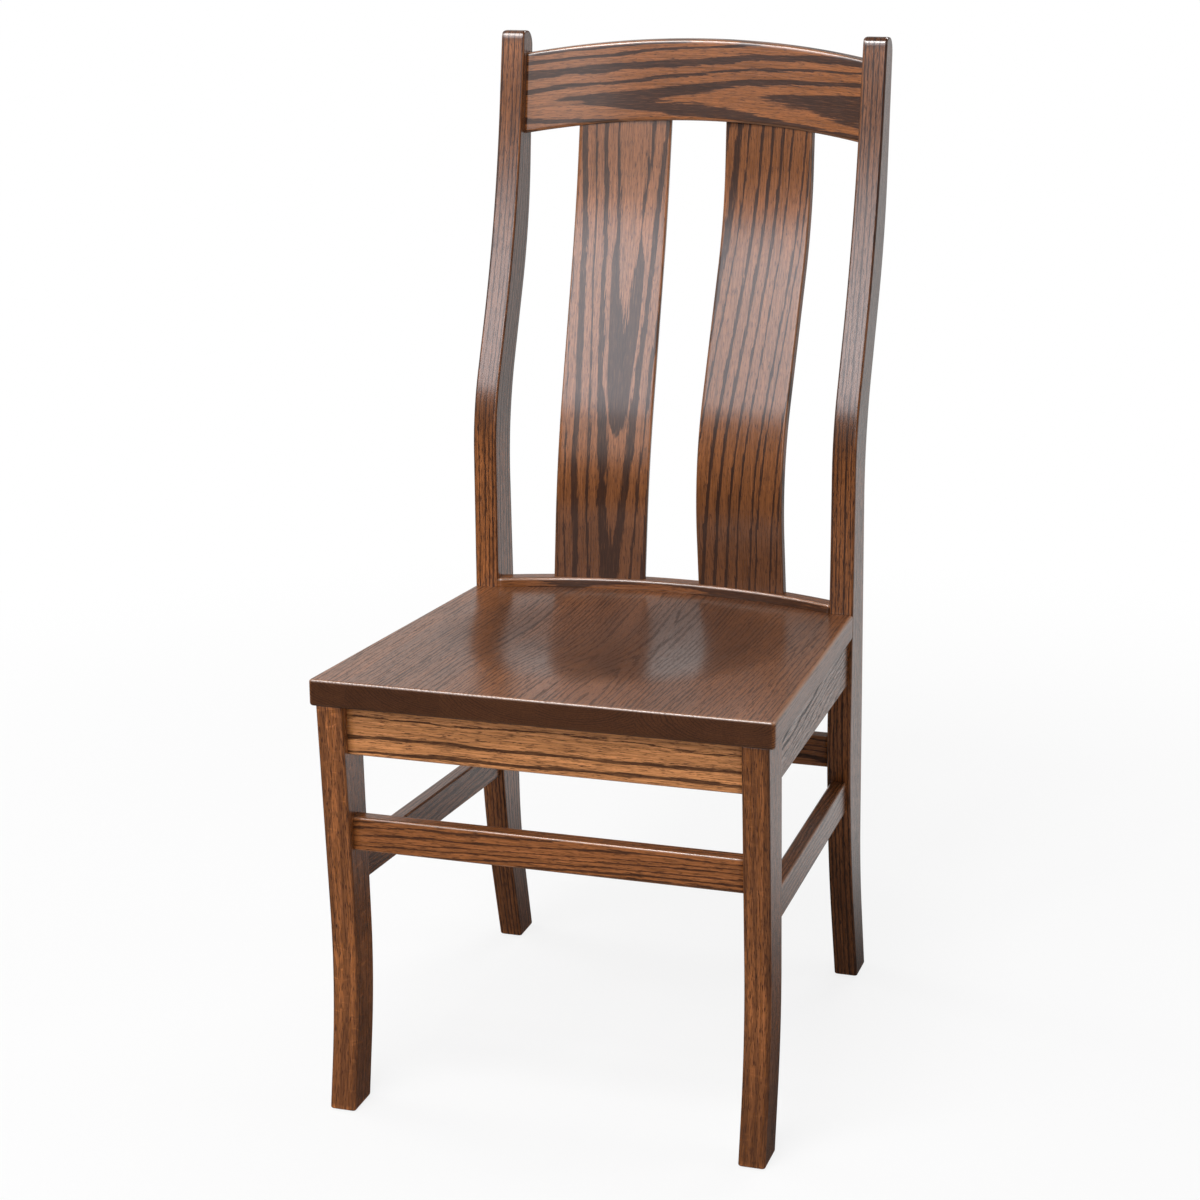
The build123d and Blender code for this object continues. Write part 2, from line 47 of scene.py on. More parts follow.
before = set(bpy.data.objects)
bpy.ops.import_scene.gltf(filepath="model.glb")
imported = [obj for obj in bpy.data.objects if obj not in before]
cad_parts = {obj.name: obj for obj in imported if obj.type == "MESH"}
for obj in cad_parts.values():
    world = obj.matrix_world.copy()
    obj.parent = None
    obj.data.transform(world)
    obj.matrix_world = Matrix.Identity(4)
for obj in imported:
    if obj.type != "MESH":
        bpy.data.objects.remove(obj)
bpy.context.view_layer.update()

MM = 0.001
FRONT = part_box("seat")[0].y
BODY = "root"
SIDES = {"left": -1, "right": 1}

# Corners of the side outlines of posts and legs before rounding: depth, height and radius, going up
POST_FRONT = ((498, 0, 0), (478, 0, 3), (418, 203, 900), (418, 634, 220), (501.8, 837, 1000),
              (531.2, 1033, 8), (542, 1033, 0))
POST_BACK = ((498, 0, 0), (518.5, 0, 3), (483.8, 131, 500), (463.4, 623, 320), (543, 824, 480),
             (561.8, 1033, 17), (542, 1033, 0))
LEG_FRONT = ((24, 0, 0), (3, 0, 3), (25.7, 126, 650), (2.5, 431, 0))
LEG_BACK = ((24, 0, 0), (45.5, 0, 3), (66.6, 126, 600), (53, 431, 0))

# Bends of a slat's face along the line between its ends: distance along, distance forward and radius
SLAT_BENDS = ((-14, -3.3, 0), (128, 30, 400), (399.9, -8.6, 500), (511.9, 1.2, 0))

# Heights of the tops of posts and legs, and roundings at their feet and tops
POST_TOP = POST_FRONT[-1][1] * MM
LEG_TOP = LEG_BACK[-1][1] * MM
FOOT_ROUNDING = 0.003
TOP_ROUNDING = 0.017

# Depths behind the seat's front edge: back of a leg, front of a post, and the crest's face at its ends
LEG_BACK_DEPTH = 0.053
POST_FRONT_DEPTH = 0.418
CREST_DEPTH = 0.53469

# Distances between neighbours: crest under the posts' tops, lower rail over the seat, slats behind the
# rails' faces, and cross rails inside the posts and legs
CREST_BELOW_TOP = 0.024
RAIL_ABOVE_SEAT = 0.009
SLAT_SET_BACK = 0.004
RAIL_SET_IN = 0.002
BACK_RAIL_SET_IN = 0.001

# Shares of end grain, which say how much stain sinks in: for each unit of a post's or leg's lean and at
# most there, on a rounded top, on the seat's front and back faces and on its right side. The same share
# makes the long edges of posts and legs and the seat's hollow darker, and is held to at most a share on
# the seat's top
LEAN_STAIN = 3.8
MOST_LEAN_STAIN = 0.72
CAP_STAIN = 0.9
EDGE_DARKENING = 0.65
FACE_STAIN = 0.97
HOLLOW_DARKENING = 0.6
RIGHT_STAIN = 0.36
MOST_TOP_DARKENING = 0.85

# Shares of end grain on a slat for each unit of its slope, forward and back, and at most
FORWARD_STAIN = 2.7
BACKWARD_STAIN = 1.6
MOST_SLAT_STAIN = 0.65

WHITE = (1.0, 1.0, 1.0, 1.0)


def length(name, value, description):
    """Size property in metres."""
    return FloatProperty(name=name, description=description, default=value, unit="LENGTH", precision=4)


def angle(name, degrees, description):
    """Angle property, given in degrees."""
    return FloatProperty(name=name, description=description, default=radians(degrees), subtype="ANGLE")


def colour(name, value, description):
    """Colour property in linear light."""
    return FloatVectorProperty(name=name, description=description, default=value, size=3,
                               subtype="COLOR", min=0.0, max=1.0)


class ChairSizes(bpy.types.PropertyGroup):
    """Sizes of the chair's pieces."""

    seat_height: length("Seat height", 0.457, "Height of the seat's top at its front edge")
    seat_slope: angle("Seat slope", 2.3, "Fall of the seat towards the back")
    seat_thickness: length("Seat thickness", 0.027, "Thickness of the plank")
    seat_depth: length("Seat depth", 0.4178, "Depth of the seat from its front edge to the posts")
    seat_front_half: length("Seat half width", 0.2325, "Half of the seat's width at its front edge")
    seat_corner: length("Seat corner", 0.004, "Radius of the seat's front corners")
    seat_ease: length("Seat ease", 0.003, "Rounding of the seat's rim")
    dish_depth: length("Dish depth", 0.010, "Depth of the hollow in the seat")
    dish_radius: length("Dish radius", 0.188, "Radius of the hollow's soft rim")
    dish_centre: length("Dish centre", 0.2554, "Depth of the hollow's middle behind the front edge")
    post_width: length("Post width", 0.026, "Width of a rear post seen from the front")
    post_outer: length("Post outer face", 0.2125, "Distance of a post's outer face from the middle")
    leg_width: length("Leg width", 0.027, "Width of a front leg seen from the front")
    leg_outer: length("Leg outer face", 0.2265, "Distance of a leg's outer face from the middle")
    post_ease: length("Post ease", 0.0025, "Rounding of the long edges of posts and legs")
    apron_thickness: length("Apron thickness", 0.018, "Thickness of the aprons")
    apron_height: length("Apron height", 0.0515, "Height of the aprons")
    stretcher_thickness: length("Stretcher thickness", 0.017, "Thickness of the stretchers")
    stretcher_height: length("Stretcher height", 0.035, "Height of the stretchers")
    rail_ease: length("Rail ease", 0.0025, "Rounding of the edges of aprons and stretchers")
    lower_rail_height: length("Lower rail height", 0.032, "Height of the lower back rail")
    lower_rail_thickness: length("Lower rail thickness", 0.021, "Thickness of the lower back rail")
    lower_rail_bow: length("Lower rail bow", 0.037, "How far the lower back rail bows to the back")
    lower_rail_ease: length("Lower rail ease", 0.003, "Rounding of the lower back rail's edges")
    crest_height: length("Crest height", 0.0855, "Height of the crest rail")
    crest_thickness: length("Crest thickness", 0.020, "Thickness of the crest rail")
    crest_bow: length("Crest bow", 0.026, "How far the crest rail bows to the back")
    crest_rise: length("Crest rise", 0.0155, "How far the crest rail arches up in the middle")
    crest_lean: angle("Crest lean", 7.0, "Lean of the crest to the back")
    crest_ease: length("Crest ease", 0.003, "Rounding of the crest's edges")
    slat_centre: length("Slat centre", 0.080, "Distance of a slat's middle from the chair's middle")
    slat_width: length("Slat width", 0.101, "Width of a back slat")
    slat_thickness: length("Slat thickness", 0.010, "Thickness of a back slat")
    slat_turn: angle("Slat turn", 10.0, "Turn of a slat towards the middle")
    slat_ease: length("Slat ease", 0.002, "Rounding of a slat's edges")


class ChairFinish(bpy.types.PropertyGroup):
    """Colours of the stained oak, the steel and the floor."""

    late_wood: colour("Late wood", (0.216, 0.074, 0.0215), "Stained wood between the growth lines")
    early_wood: colour("Early wood", (0.033, 0.012, 0.0055), "Growth lines, which take up most stain")
    pale_wood: colour("Pale wood", (0.42, 0.175, 0.062), "Lighter wood of the front and rear aprons")
    # Paler colour of the edges: partly wear, partly a painted highlight along rounded edges
    rubbed_wood: colour("Rubbed and highlit wood", (0.42, 0.26, 0.17), "Wood that shows where edges are rubbed")
    steel: colour("Steel", (0.52, 0.52, 0.50), "Zinc on the screws")
    floor: colour("Floor", (0.70, 0.70, 0.70), "Studio floor")


# Shapes

def rounded_line(corners, steps=14):
    """Line through (across, up, radius) corners with an arc of that radius fitted into each corner.

    The arc starts where the two runs are radius times tan(turn / 2) from the corner, and turns about
    a centre that lies the radius away from both runs. Metres come out.
    """
    corners = np.asarray(corners, float) * MM
    line = [corners[:1, :2]]
    for before, corner, after in zip(corners[:-2], corners[1:-1], corners[2:]):
        into = (corner - before)[:2] / np.linalg.norm((corner - before)[:2])
        out = (after - corner)[:2] / np.linalg.norm((after - corner)[:2])
        turn = np.arctan2(into[0] * out[1] - into[1] * out[0], into @ out)
        reach = corner[2] * np.tan(abs(turn) / 2)
        normal = np.sign(turn) * np.array([-into[1], into[0]])
        angles = np.linspace(0, abs(turn), steps)[:, None]
        start = corner[:2] - into * reach
        line.append(start + corner[2] * (np.sin(angles) * into + (1 - np.cos(angles)) * normal))
    line.append(corners[-1:, :2])
    return np.concatenate(line)


def arc_rise(offset, half_span, rise):
    """Height of a circular arc over its chord, at an offset from the chord's middle."""
    radius = (half_span**2 + rise**2) / (2 * rise)
    return np.sqrt(radius**2 - np.asarray(offset) ** 2) - (radius - rise)


def section_table(corner_steps=6, flats=(0.02, 0.18, 0.38, 0.62, 0.82, 0.98)):
    """Rounded rectangle as four factors for each point round it, and how far it is on an edge.

    A point lies at across = a * (half - ease) + b * ease and
    deep = (1 - f) * front + f * back + c * ease. Corners are quarter circles, and flats run straight
    between the ends of two corners.
    """
    angles = np.linspace(0, np.pi / 2, corner_steps)
    rows, edge = [], []
    corner_rows = []
    for k, (a, f) in enumerate(((1, 0), (1, 1), (-1, 1), (-1, 0))):
        theta = angles + (k - 1) * np.pi / 2
        ones = np.ones(corner_steps)
        corner_rows.append(np.stack([a * ones, np.cos(theta), f * ones, np.sin(theta) + 1 - 2 * f], 1))
    along = np.array(flats)[:, None]
    for k in range(4):
        here, there = corner_rows[k], corner_rows[(k + 1) % 4]
        rows += [here, here[-1] * (1 - along) + there[0] * along]
        edge += [np.sin(2 * angles), np.zeros(len(flats))]
    return np.concatenate(rows).T, np.concatenate(edge)


def sections(half, front, back, ease, most_ease=0.48):
    """Across and deep places of rounded rectangles, one row for each station.

    The rounding is held to a share of the section's smaller side.
    """
    (a, b, f, c), edge = section_table()
    half, front, back, ease = (np.asarray(x, float).reshape(-1, 1) for x in (half, front, back, ease))
    half, front, back, ease = np.broadcast_arrays(half, front, back, ease)
    ease = np.minimum(ease, most_ease * np.minimum(2 * half, back - front))
    across = a * (half - ease) + b * ease
    deep = (1 - f) * front + f * back + c * ease
    return across, deep, np.broadcast_to(edge, across.shape)


def end_rounding(along, high, ease_low, ease_high):
    """How much a section draws in near its ends: a quarter circle of the ease at each end."""
    def quarter(gap, ease):
        near = np.clip(1 - gap / max(ease, 1e-9), 0, 1)
        return ease * (1 - np.sqrt(np.clip(1 - near**2, 0, 1)))
    return quarter(along, ease_low) + quarter(high - along, ease_high)


def stations(high, round_low, round_high, count, steps):
    """Heights from the floor up, closer together in a piece's rounded ends."""
    lead = 1 - np.cos(np.linspace(0, np.pi / 2, steps))
    parts = [round_low * lead, np.linspace(round_low, high - round_high, count)]
    if round_high:
        parts.append(high - round_high * lead)
    return np.unique(np.round(np.concatenate(parts), 7))


def closed_piece(name, rings, grain, edge, end_grain=None):
    """Mesh object from rings of points, with its two ends closed by a face inside a narrow rim.

    Each ring joins the next with four-sided faces. The place in the grain, the share of an edge that is
    paled by wear and by a painted highlight, and the share of end grain are kept as attributes.
    """
    end_grain = np.zeros(edge.shape) if end_grain is None else end_grain

    def rim(ring, keep=0.9):
        return ring * keep + ring.mean(0, keepdims=True) * (1 - keep)

    rings = np.concatenate([rim(rings[0])[None], rings, rim(rings[-1])[None]])
    grain = np.concatenate([rim(grain[0])[None], grain, rim(grain[-1])[None]])
    edge = np.concatenate([edge[:1] * 0, edge, edge[-1:] * 0])
    end_grain = np.concatenate([end_grain[:1], end_grain, end_grain[-1:]])
    count, around = rings.shape[:2]
    index = np.arange(count * around).reshape(count, around)
    near, far = index[:-1], index[1:]
    quads = np.stack([near, np.roll(near, -1, 1), np.roll(far, -1, 1), far], -1).reshape(-1, 4)
    faces = quads.tolist() + [index[0, ::-1].tolist(), index[-1].tolist()]
    mesh = bpy.data.meshes.new(name)
    mesh.from_pydata(rings.reshape(-1, 3), [], faces)
    for label, kind, field, values in (
        ("grain", "FLOAT_VECTOR", "vector", grain),
        ("edge", "FLOAT", "value", edge),
        ("end_grain", "FLOAT", "value", end_grain),
    ):
        mesh.attributes.new(label, kind, "POINT").data.foreach_set(
            field, np.ascontiguousarray(values, np.float32).ravel())
    shell = bmesh.new()
    shell.from_mesh(mesh)
    bmesh.ops.recalc_face_normals(shell, faces=shell.faces)
    shell.to_mesh(mesh)
    shell.free()
    mesh.polygons.foreach_set("use_smooth", np.ones(len(mesh.polygons), bool))
    mesh.update()
    piece = bpy.data.objects.new(name, mesh)
    bpy.context.scene.collection.objects.link(piece)
    return piece


def fit(piece, node, material):
    """Put a finished piece in the place of its node."""
    piece.data.materials.append(material)
    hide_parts(node)
    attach(piece, BODY)


def upright(name, lines, high, middle, width, ease, round_high):
    """Post or leg from level rounded rectangles stacked by height between its two side outlines.

    The grain follows the outlines. Stain sinks in where the piece leans and its grain runs out and over a
    rounded top, so these count as shares of end grain; the long edges are made darker by the same share.
    """
    height = stations(high, FOOT_ROUNDING, round_high, count=120, steps=14)
    front, back = (np.interp(height, line[:, 1], line[:, 0]) + FRONT for line in lines)
    half = width / 2 - end_rounding(height, high, min(ease, FOOT_ROUNDING), min(ease, round_high))
    across, deep, edge = sections(half, front, back, ease)
    rise = np.broadcast_to(height[:, None], across.shape)
    rings = np.stack([across + middle, deep, rise], -1)
    grain_depth = 0.036
    through = (deep - front[:, None]) / (back - front)[:, None] - 0.5
    grain = np.stack([rise, across, grain_depth * through], -1)
    lean = np.abs(np.gradient((front + back) / 2, height))
    run_out = np.clip(LEAN_STAIN * lean, 0, MOST_LEAN_STAIN)
    cap = np.zeros(height.shape)
    if round_high:
        into_top, sharpness = 1 - (high - height) / round_high, 1.6
        cap = CAP_STAIN * np.clip(sharpness * into_top, 0, 1)
    end_grain = np.maximum(np.maximum(run_out, cap)[:, None], EDGE_DARKENING * edge)
    return closed_piece(name, rings, grain, np.zeros(edge.shape), end_grain)


def bar(name, start, end, thickness_way, thickness, height, ease, shear=0.0, count=40):
    """Straight rail of rounded rectangles between two points, with its height upright.

    The height follows the slope shear * deep, so that a top can lie along the seat's underside.
    """
    start, end, way = (np.asarray(x, float) for x in (start, end, thickness_way))
    along = np.linspace(0, 1, count)
    ease = np.full(along.shape, ease)
    up, deep, edge = sections(height / 2, -thickness / 2, thickness / 2, ease)
    centre = start + (end - start) * along[:, None]
    rings = centre[:, None, :] + deep[..., None] * way
    rings[..., 2] += up + shear * deep
    run = np.linalg.norm(end - start) * (along[:, None] - 0.5)
    grain = np.stack([np.broadcast_to(run, up.shape), up, deep], -1)
    return closed_piece(name, rings, grain, edge)


def cross_rail(name, sizes, depth, middle, reach, thickness, height, shear=0.0):
    """Rail across the chair, level, with its middle line at a depth and a height."""
    ends = [(side * reach, FRONT + depth, middle) for side in SIDES.values()]
    return bar(f"{name}_rail", *ends, (0, 1, 0), thickness, height, sizes.rail_ease, shear)


def side_rail(name, side, sizes, top, thickness, height, overlap):
    """Rail of one side, from just inside the leg to just inside the post, falling as the seat does."""
    leg_middle = sizes.leg_outer - sizes.leg_width / 2
    post_middle = sizes.post_outer - sizes.post_width / 2
    splay = (leg_middle - post_middle) / (POST_FRONT_DEPTH - LEG_BACK_DEPTH)
    ends = []
    for depth in (LEG_BACK_DEPTH - overlap, POST_FRONT_DEPTH + overlap):
        across = leg_middle - splay * (depth - LEG_BACK_DEPTH)
        ends.append((side * across, FRONT + depth, top - height / 2 - tan(sizes.seat_slope) * depth))
    return bar(name, *ends, (1, 0, 0), thickness, height, sizes.rail_ease)


def under_seat(sizes, depth):
    """Height of the seat's underside at a depth."""
    slope = sizes.seat_slope
    return sizes.seat_height - sizes.seat_thickness / cos(slope) - tan(slope) * depth


def half_back(sizes):
    """Half of the space between the posts."""
    return sizes.post_outer - sizes.post_width


def reach_of_rails(sizes):
    """How far cross rails reach from the middle, into the legs and into the posts."""
    return sizes.leg_outer - sizes.leg_width + RAIL_SET_IN, half_back(sizes) + RAIL_SET_IN


def lower_rail_top(sizes):
    """Height of the lower back rail's top."""
    return sizes.seat_height - tan(sizes.seat_slope) * POST_FRONT_DEPTH + RAIL_ABOVE_SEAT


def crest_middle(sizes):
    """Height of the crest's middle line at its ends."""
    return POST_TOP - CREST_BELOW_TOP - sizes.crest_height / 2


# Shader wiring

VALUE, VECTOR, COLOUR = "NodeSocketFloat", "NodeSocketVector", "NodeSocketColor"


class Wiring:
    """Adds nodes to a tree and links sockets or plain values to their inputs."""

    def __init__(self, tree):
        self.tree = tree

    def put(self, socket, value):
        if isinstance(value, bpy.types.NodeSocket):
            self.tree.links.new(value, socket)
        elif value is not None:
            socket.default_value = value

    def feed(self, node, values):
        """Put values on a node's inputs by name."""
        for label, value in values.items():
            self.put(node.inputs[label], value)

    def node(self, kind, *values, **settings):
        node = self.tree.nodes.new(kind)
        for key, value in settings.items():
            setattr(node, key, value)
        for socket, value in zip(node.inputs, values):
            self.put(socket, value)
        return node

    def group(self, maker):
        """Node of a shared group, which is made the first time it is asked for."""
        tree = bpy.data.node_groups.get(maker.__name__) or maker()
        return self.node("ShaderNodeGroup", node_tree=tree)

    def math(self, operation, *values, clamp=False):
        return self.node("ShaderNodeMath", *values, operation=operation, use_clamp=clamp).outputs[0]

    def times(self, product, *others):
        """Product of all values."""
        for other in others:
            product = self.math("MULTIPLY", product, other)
        return product

    def scaled(self, value, factor, base, clamp=False):
        """Value times a factor plus a base."""
        return self.math("MULTIPLY_ADD", value, factor, base, clamp=clamp)

    def swing(self, noise, reach, base=0.0):
        """Base plus a reach times the noise's distance from its middle."""
        return self.scaled(self.math("SUBTRACT", noise, 0.5), reach, base)

    def most(self, first, second):
        return self.math("MAXIMUM", first, second)

    def vector(self, operation, *values):
        node = self.node("ShaderNodeVectorMath", *values, operation=operation)
        return node.outputs["Value" if operation == "LENGTH" else "Vector"]

    def split(self, place):
        return self.node("ShaderNodeSeparateXYZ", place).outputs

    def attribute(self, name, output="Fac"):
        return self.node("ShaderNodeAttribute", attribute_name=name).outputs[output]

    def object_place(self):
        return self.node("ShaderNodeTexCoord").outputs["Object"]

    def step(self, value, low, high, to_low=0.0, to_high=1.0):
        """Soft step that gives to_low up to low and to_high from high on."""
        node = self.node("ShaderNodeMapRange", value, low, high, to_low, to_high,
                         interpolation_type="SMOOTHSTEP")
        return node.outputs[0]

    def noise(self, place, scale, detail, roughness=0.5, distortion=0.0, kind="3D"):
        node = self.node("ShaderNodeTexNoise", noise_dimensions=kind)
        self.feed(node, {"W" if kind == "1D" else "Vector": place, "Scale": scale, "Detail": detail,
                         "Roughness": roughness, "Distortion": distortion})
        return node.outputs[0]

    def grain_noise(self, place, along, across, detail, roughness=0.5, distortion=0.0):
        """Noise with so many cells to the metre along the grain and across it."""
        cells = self.vector("MULTIPLY", place, (along, across, across))
        return self.noise(cells, 1.0, detail, roughness, distortion)

    def mix(self, factor, first, second, blend="MIX"):
        """Blend of two colours, which are the node's inputs 6 and 7 and its output 2."""
        node = self.node("ShaderNodeMix", data_type="RGBA", blend_type=blend)
        for number, value in ((0, factor), (6, first), (7, second)):
            self.put(node.inputs[number], value)
        return node.outputs[2]


def new_group(name, inputs, outputs):
    """Empty shader group with its sockets: its wiring, its inputs by name and its output node.

    An input is given by its default if it is a plain value, and otherwise by its kind.
    """
    tree = bpy.data.node_groups.new(name, "ShaderNodeTree")
    for label, given in inputs.items():
        kind = given if isinstance(given, str) else VALUE
        socket = tree.interface.new_socket(label, in_out="INPUT", socket_type=kind)
        if kind == VALUE:
            socket.default_value = given
    for label, kind in outputs.items():
        tree.interface.new_socket(label, in_out="OUTPUT", socket_type=kind)
    source = tree.nodes.new("NodeGroupInput")
    sink = tree.nodes.new("NodeGroupOutput")
    return Wiring(tree), {socket.name: socket for socket in source.outputs if socket.name}, sink


def oak_figure():
    """Growth lines, pores, ray flecks, broad tone and relief of oak at a place in its grain.

    A growth line starts wherever the distance from the tree's middle passes a whole number of ring
    widths. The distance is first drawn out by a taper along the grain, a slow and a quick wander and
    the ragged edge of fine noise. A line fills a share of its ring, which goes over to the heart's
    share near the tree's middle, within the heart's length. Pores are dashes along the grain, and
    flecks are short bars across it.
    """
    wires, given, sink = new_group("oak_figure", {
        "Place": VECTOR, "Offset": VECTOR, "Ring Width": 0.006, "Pith Across": 0.0, "Pith Deep": 0.06,
        "Taper": 0.01, "Wander": 0.004, "Early Share": 0.4, "Heart Share": 0.4, "Heart Length": 1.0,
        "Ring Start": 0.0, "Ragged": 0.005, "Fleck Amount": 0.0,
    }, {"Lines": VALUE, "Pores": VALUE, "Flecks": VALUE, "Tone": VALUE, "Height": VALUE})
    spot = wires.vector("ADD", given["Place"], given["Offset"])
    along, level, depth = wires.split(given["Place"])
    slow = wires.grain_noise(spot, along=2.5, across=13, detail=1.5)
    quick = wires.grain_noise(spot, along=9, across=70, detail=2.0)
    flame = wires.grain_noise(spot, along=20, across=420, detail=3.0, roughness=0.65)
    hair = wires.grain_noise(spot, along=60, across=1300, detail=2.0, roughness=0.6)
    tick = wires.grain_noise(spot, along=90, across=1050, detail=2.0, roughness=0.6)

    across = wires.math("SUBTRACT", level, given["Pith Across"])
    deep = wires.math("SUBTRACT", depth, given["Pith Deep"])
    squares = wires.math("ADD", wires.times(across, across), wires.times(deep, deep))
    drawn = wires.scaled(along, given["Taper"], wires.math("SQRT", squares))
    slow_share, quick_share, hair_reach = 5.0, 1.5, 0.0018
    for noise, reach in (
        (slow, wires.times(given["Wander"], slow_share)),
        (quick, wires.times(given["Wander"], quick_share)),
        (flame, given["Ragged"]),
        (hair, hair_reach),
    ):
        drawn = wires.swing(noise, reach, drawn)

    elsewhere, uneven_rings = 3.7, 1.2
    uneven = wires.noise(drawn, scale=90.0, detail=1.0, kind="1D")
    vary = wires.noise(wires.math("ADD", drawn, elsewhere), scale=55.0, detail=1.0, kind="1D")
    rings = wires.math("ADD", wires.math("DIVIDE", drawn, given["Ring Width"]), given["Ring Start"])
    phase = wires.math("FRACT", wires.swing(uneven, uneven_rings, rings))

    heart_sides, heart_tips = (0.008, 0.028), (0.6, 1.4)
    heart_lengths = wires.math("DIVIDE", wires.math("ABSOLUTE", along), given["Heart Length"])
    from_heart = wires.most(wires.step(wires.math("ABSOLUTE", across), *heart_sides),
                            wires.step(heart_lengths, *heart_tips))
    in_heart = wires.math("SUBTRACT", 1.0, from_heart)
    filled = wires.math("ADD", wires.times(given["Early Share"], from_heart),
                        wires.times(given["Heart Share"], in_heart))
    spread, least, start_width, fade = 1.4, 0.3, 0.035, 0.04
    for noise in (vary, flame):
        filled = wires.times(filled, wires.scaled(noise, spread, least))
    starts = wires.step(phase, 0.0, start_width)
    ends = wires.step(phase, wires.times(filled, 1 - fade), wires.times(filled, 1 + fade), 1.0, 0.0)
    lines = wires.times(starts, ends, wires.step(hair, 0.28, 0.52, 0.7, 1.0))

    hair_share = 0.7
    pores = wires.most(wires.times(wires.step(hair, 0.52, 0.66), hair_share),
                       wires.step(tick, 0.55, 0.65))
    fleck_cells = wires.grain_noise(spot, along=240, across=70, detail=1.0, distortion=0.6)
    fleck_zones = wires.grain_noise(spot, along=7, across=30, detail=1.0)
    flecks = wires.times(wires.step(fleck_cells, 0.60, 0.70), wires.step(fleck_zones, 0.42, 0.6),
                         given["Fleck Amount"])
    broad = wires.grain_noise(spot, along=3, across=28, detail=2.0)
    narrow = wires.grain_noise(spot, along=14, across=420, detail=3.0, roughness=0.7)
    narrow_reach, broad_reach, line_depth, pore_depth = 3.2, 1.1, -0.6, -0.7
    tone = wires.swing(narrow, narrow_reach, wires.swing(broad, broad_reach))
    height = wires.scaled(lines, line_depth, wires.times(pores, pore_depth))
    wires.feed(sink, {"Lines": lines, "Pores": pores, "Flecks": flecks, "Tone": tone, "Height": height})
    return wires.tree


def glued_boards():
    """Place within one of several boards glued side by side, each with its own turn of the figure."""
    wires, given, sink = new_group("glued_boards", {"Place": VECTOR, "Board Width": 0.095},
                                   {"Place": VECTOR, "Offset": VECTOR, "Tone": VALUE})
    along, across, depth = wires.split(given["Place"])
    number = wires.math("FLOOR", wires.math("DIVIDE", across, given["Board Width"]))
    white_noise = wires.node("ShaderNodeTexWhiteNoise", None, number, noise_dimensions="1D")
    chance = white_noise.outputs["Color"]
    first, second, third = wires.node("ShaderNodeSeparateColor", chance).outputs
    sideways, deeper, apart, shade = 0.12, 0.05, (7.0, 5.0, 3.0), 0.5
    middle = wires.times(wires.math("ADD", number, 0.5), given["Board Width"])
    local = wires.swing(first, sideways, wires.math("SUBTRACT", across, middle))
    deep = wires.scaled(second, deeper, depth)
    wires.feed(sink, {
        "Place": wires.node("ShaderNodeCombineXYZ", along, local, deep).outputs[0],
        "Offset": wires.vector("MULTIPLY", chance, apart),
        "Tone": wires.swing(third, shade),
    })
    return wires.tree


def stain():
    """Stain and lacquer over the figure: colour, roughness and how far the lacquer's coat is closed.

    Lines, pores and end grain take up more stain, edges are paler from wear and from a painted highlight,
    and the coat is broken where lines and pores leave the grain open.
    """
    wires, given, sink = new_group("stain", {
        "Lines": 0.0, "Pores": 0.0, "Flecks": 0.0, "Tone": 0.0, "Edge": 0.0, "End Grain": 0.0,
        "Late Wood": COLOUR, "Early Wood": COLOUR, "Rubbed And Highlit Wood": COLOUR, "Contrast": 0.9,
        "Depth Of Tone": 0.5, "Gloss": 0.28, "Pore Depth": 0.8, "Open Grain": 0.3,
    }, {"Color": COLOUR, "Roughness": VALUE, "Coat": VALUE})
    fleck_lift, least_lift, rub_and_highlight, rub_and_highlight_swing = 0.5, 0.25, 0.4, 0.3
    sunk_share, open_rough, tone_rough, pore_share = 0.8, 0.09, 0.05, 0.7
    late, early = given["Late Wood"], given["Early Wood"]
    lines = wires.times(given["Lines"], given["Contrast"])
    body = wires.mix(lines, late, early)
    body = wires.mix(wires.times(given["Pores"], given["Pore Depth"]), body, early)
    lift = wires.scaled(given["Tone"], given["Depth Of Tone"], 1.0)
    lift = wires.most(wires.scaled(given["Flecks"], fleck_lift, lift), least_lift)
    grey = wires.node("ShaderNodeCombineColor", lift, lift, lift).outputs[0]
    body = wires.mix(1.0, body, grey, "MULTIPLY")
    # Edges go over to the paler colour: partly wear, partly a painted highlight
    worn_and_highlit = wires.times(given["Edge"], wires.scaled(given["Tone"], rub_and_highlight_swing, rub_and_highlight))
    rubbed_and_highlit = wires.most(worn_and_highlit, 0.0)
    body = wires.mix(rubbed_and_highlit, body, wires.mix(0.5, late, given["Rubbed And Highlit Wood"]))
    body = wires.mix(wires.times(given["End Grain"], sunk_share), body, early)
    open_places = wires.math("ADD", given["Lines"], given["Pores"])
    rough = wires.scaled(open_places, open_rough, given["Gloss"])
    open_grain = wires.most(lines, wires.times(given["Pores"], pore_share))
    broken = wires.times(open_grain, given["Open Grain"])
    wires.feed(sink, {
        "Color": body,
        "Roughness": wires.scaled(given["Tone"], tone_rough, rough, clamp=True),
        "Coat": wires.math("SUBTRACT", 1.0, broken, clamp=True),
    })
    return wires.tree


def rgba(tint, lift=1.0):
    """Colour made lighter or darker, with a solid alpha."""
    return (tint[0] * lift, tint[1] * lift, tint[2] * lift, 1.0)


def new_material(name):
    """Material with its wiring and its shader."""
    material = bpy.data.materials.new(name)
    material.use_nodes = True
    return material, Wiring(material.node_tree), material.node_tree.nodes["Principled BSDF"]


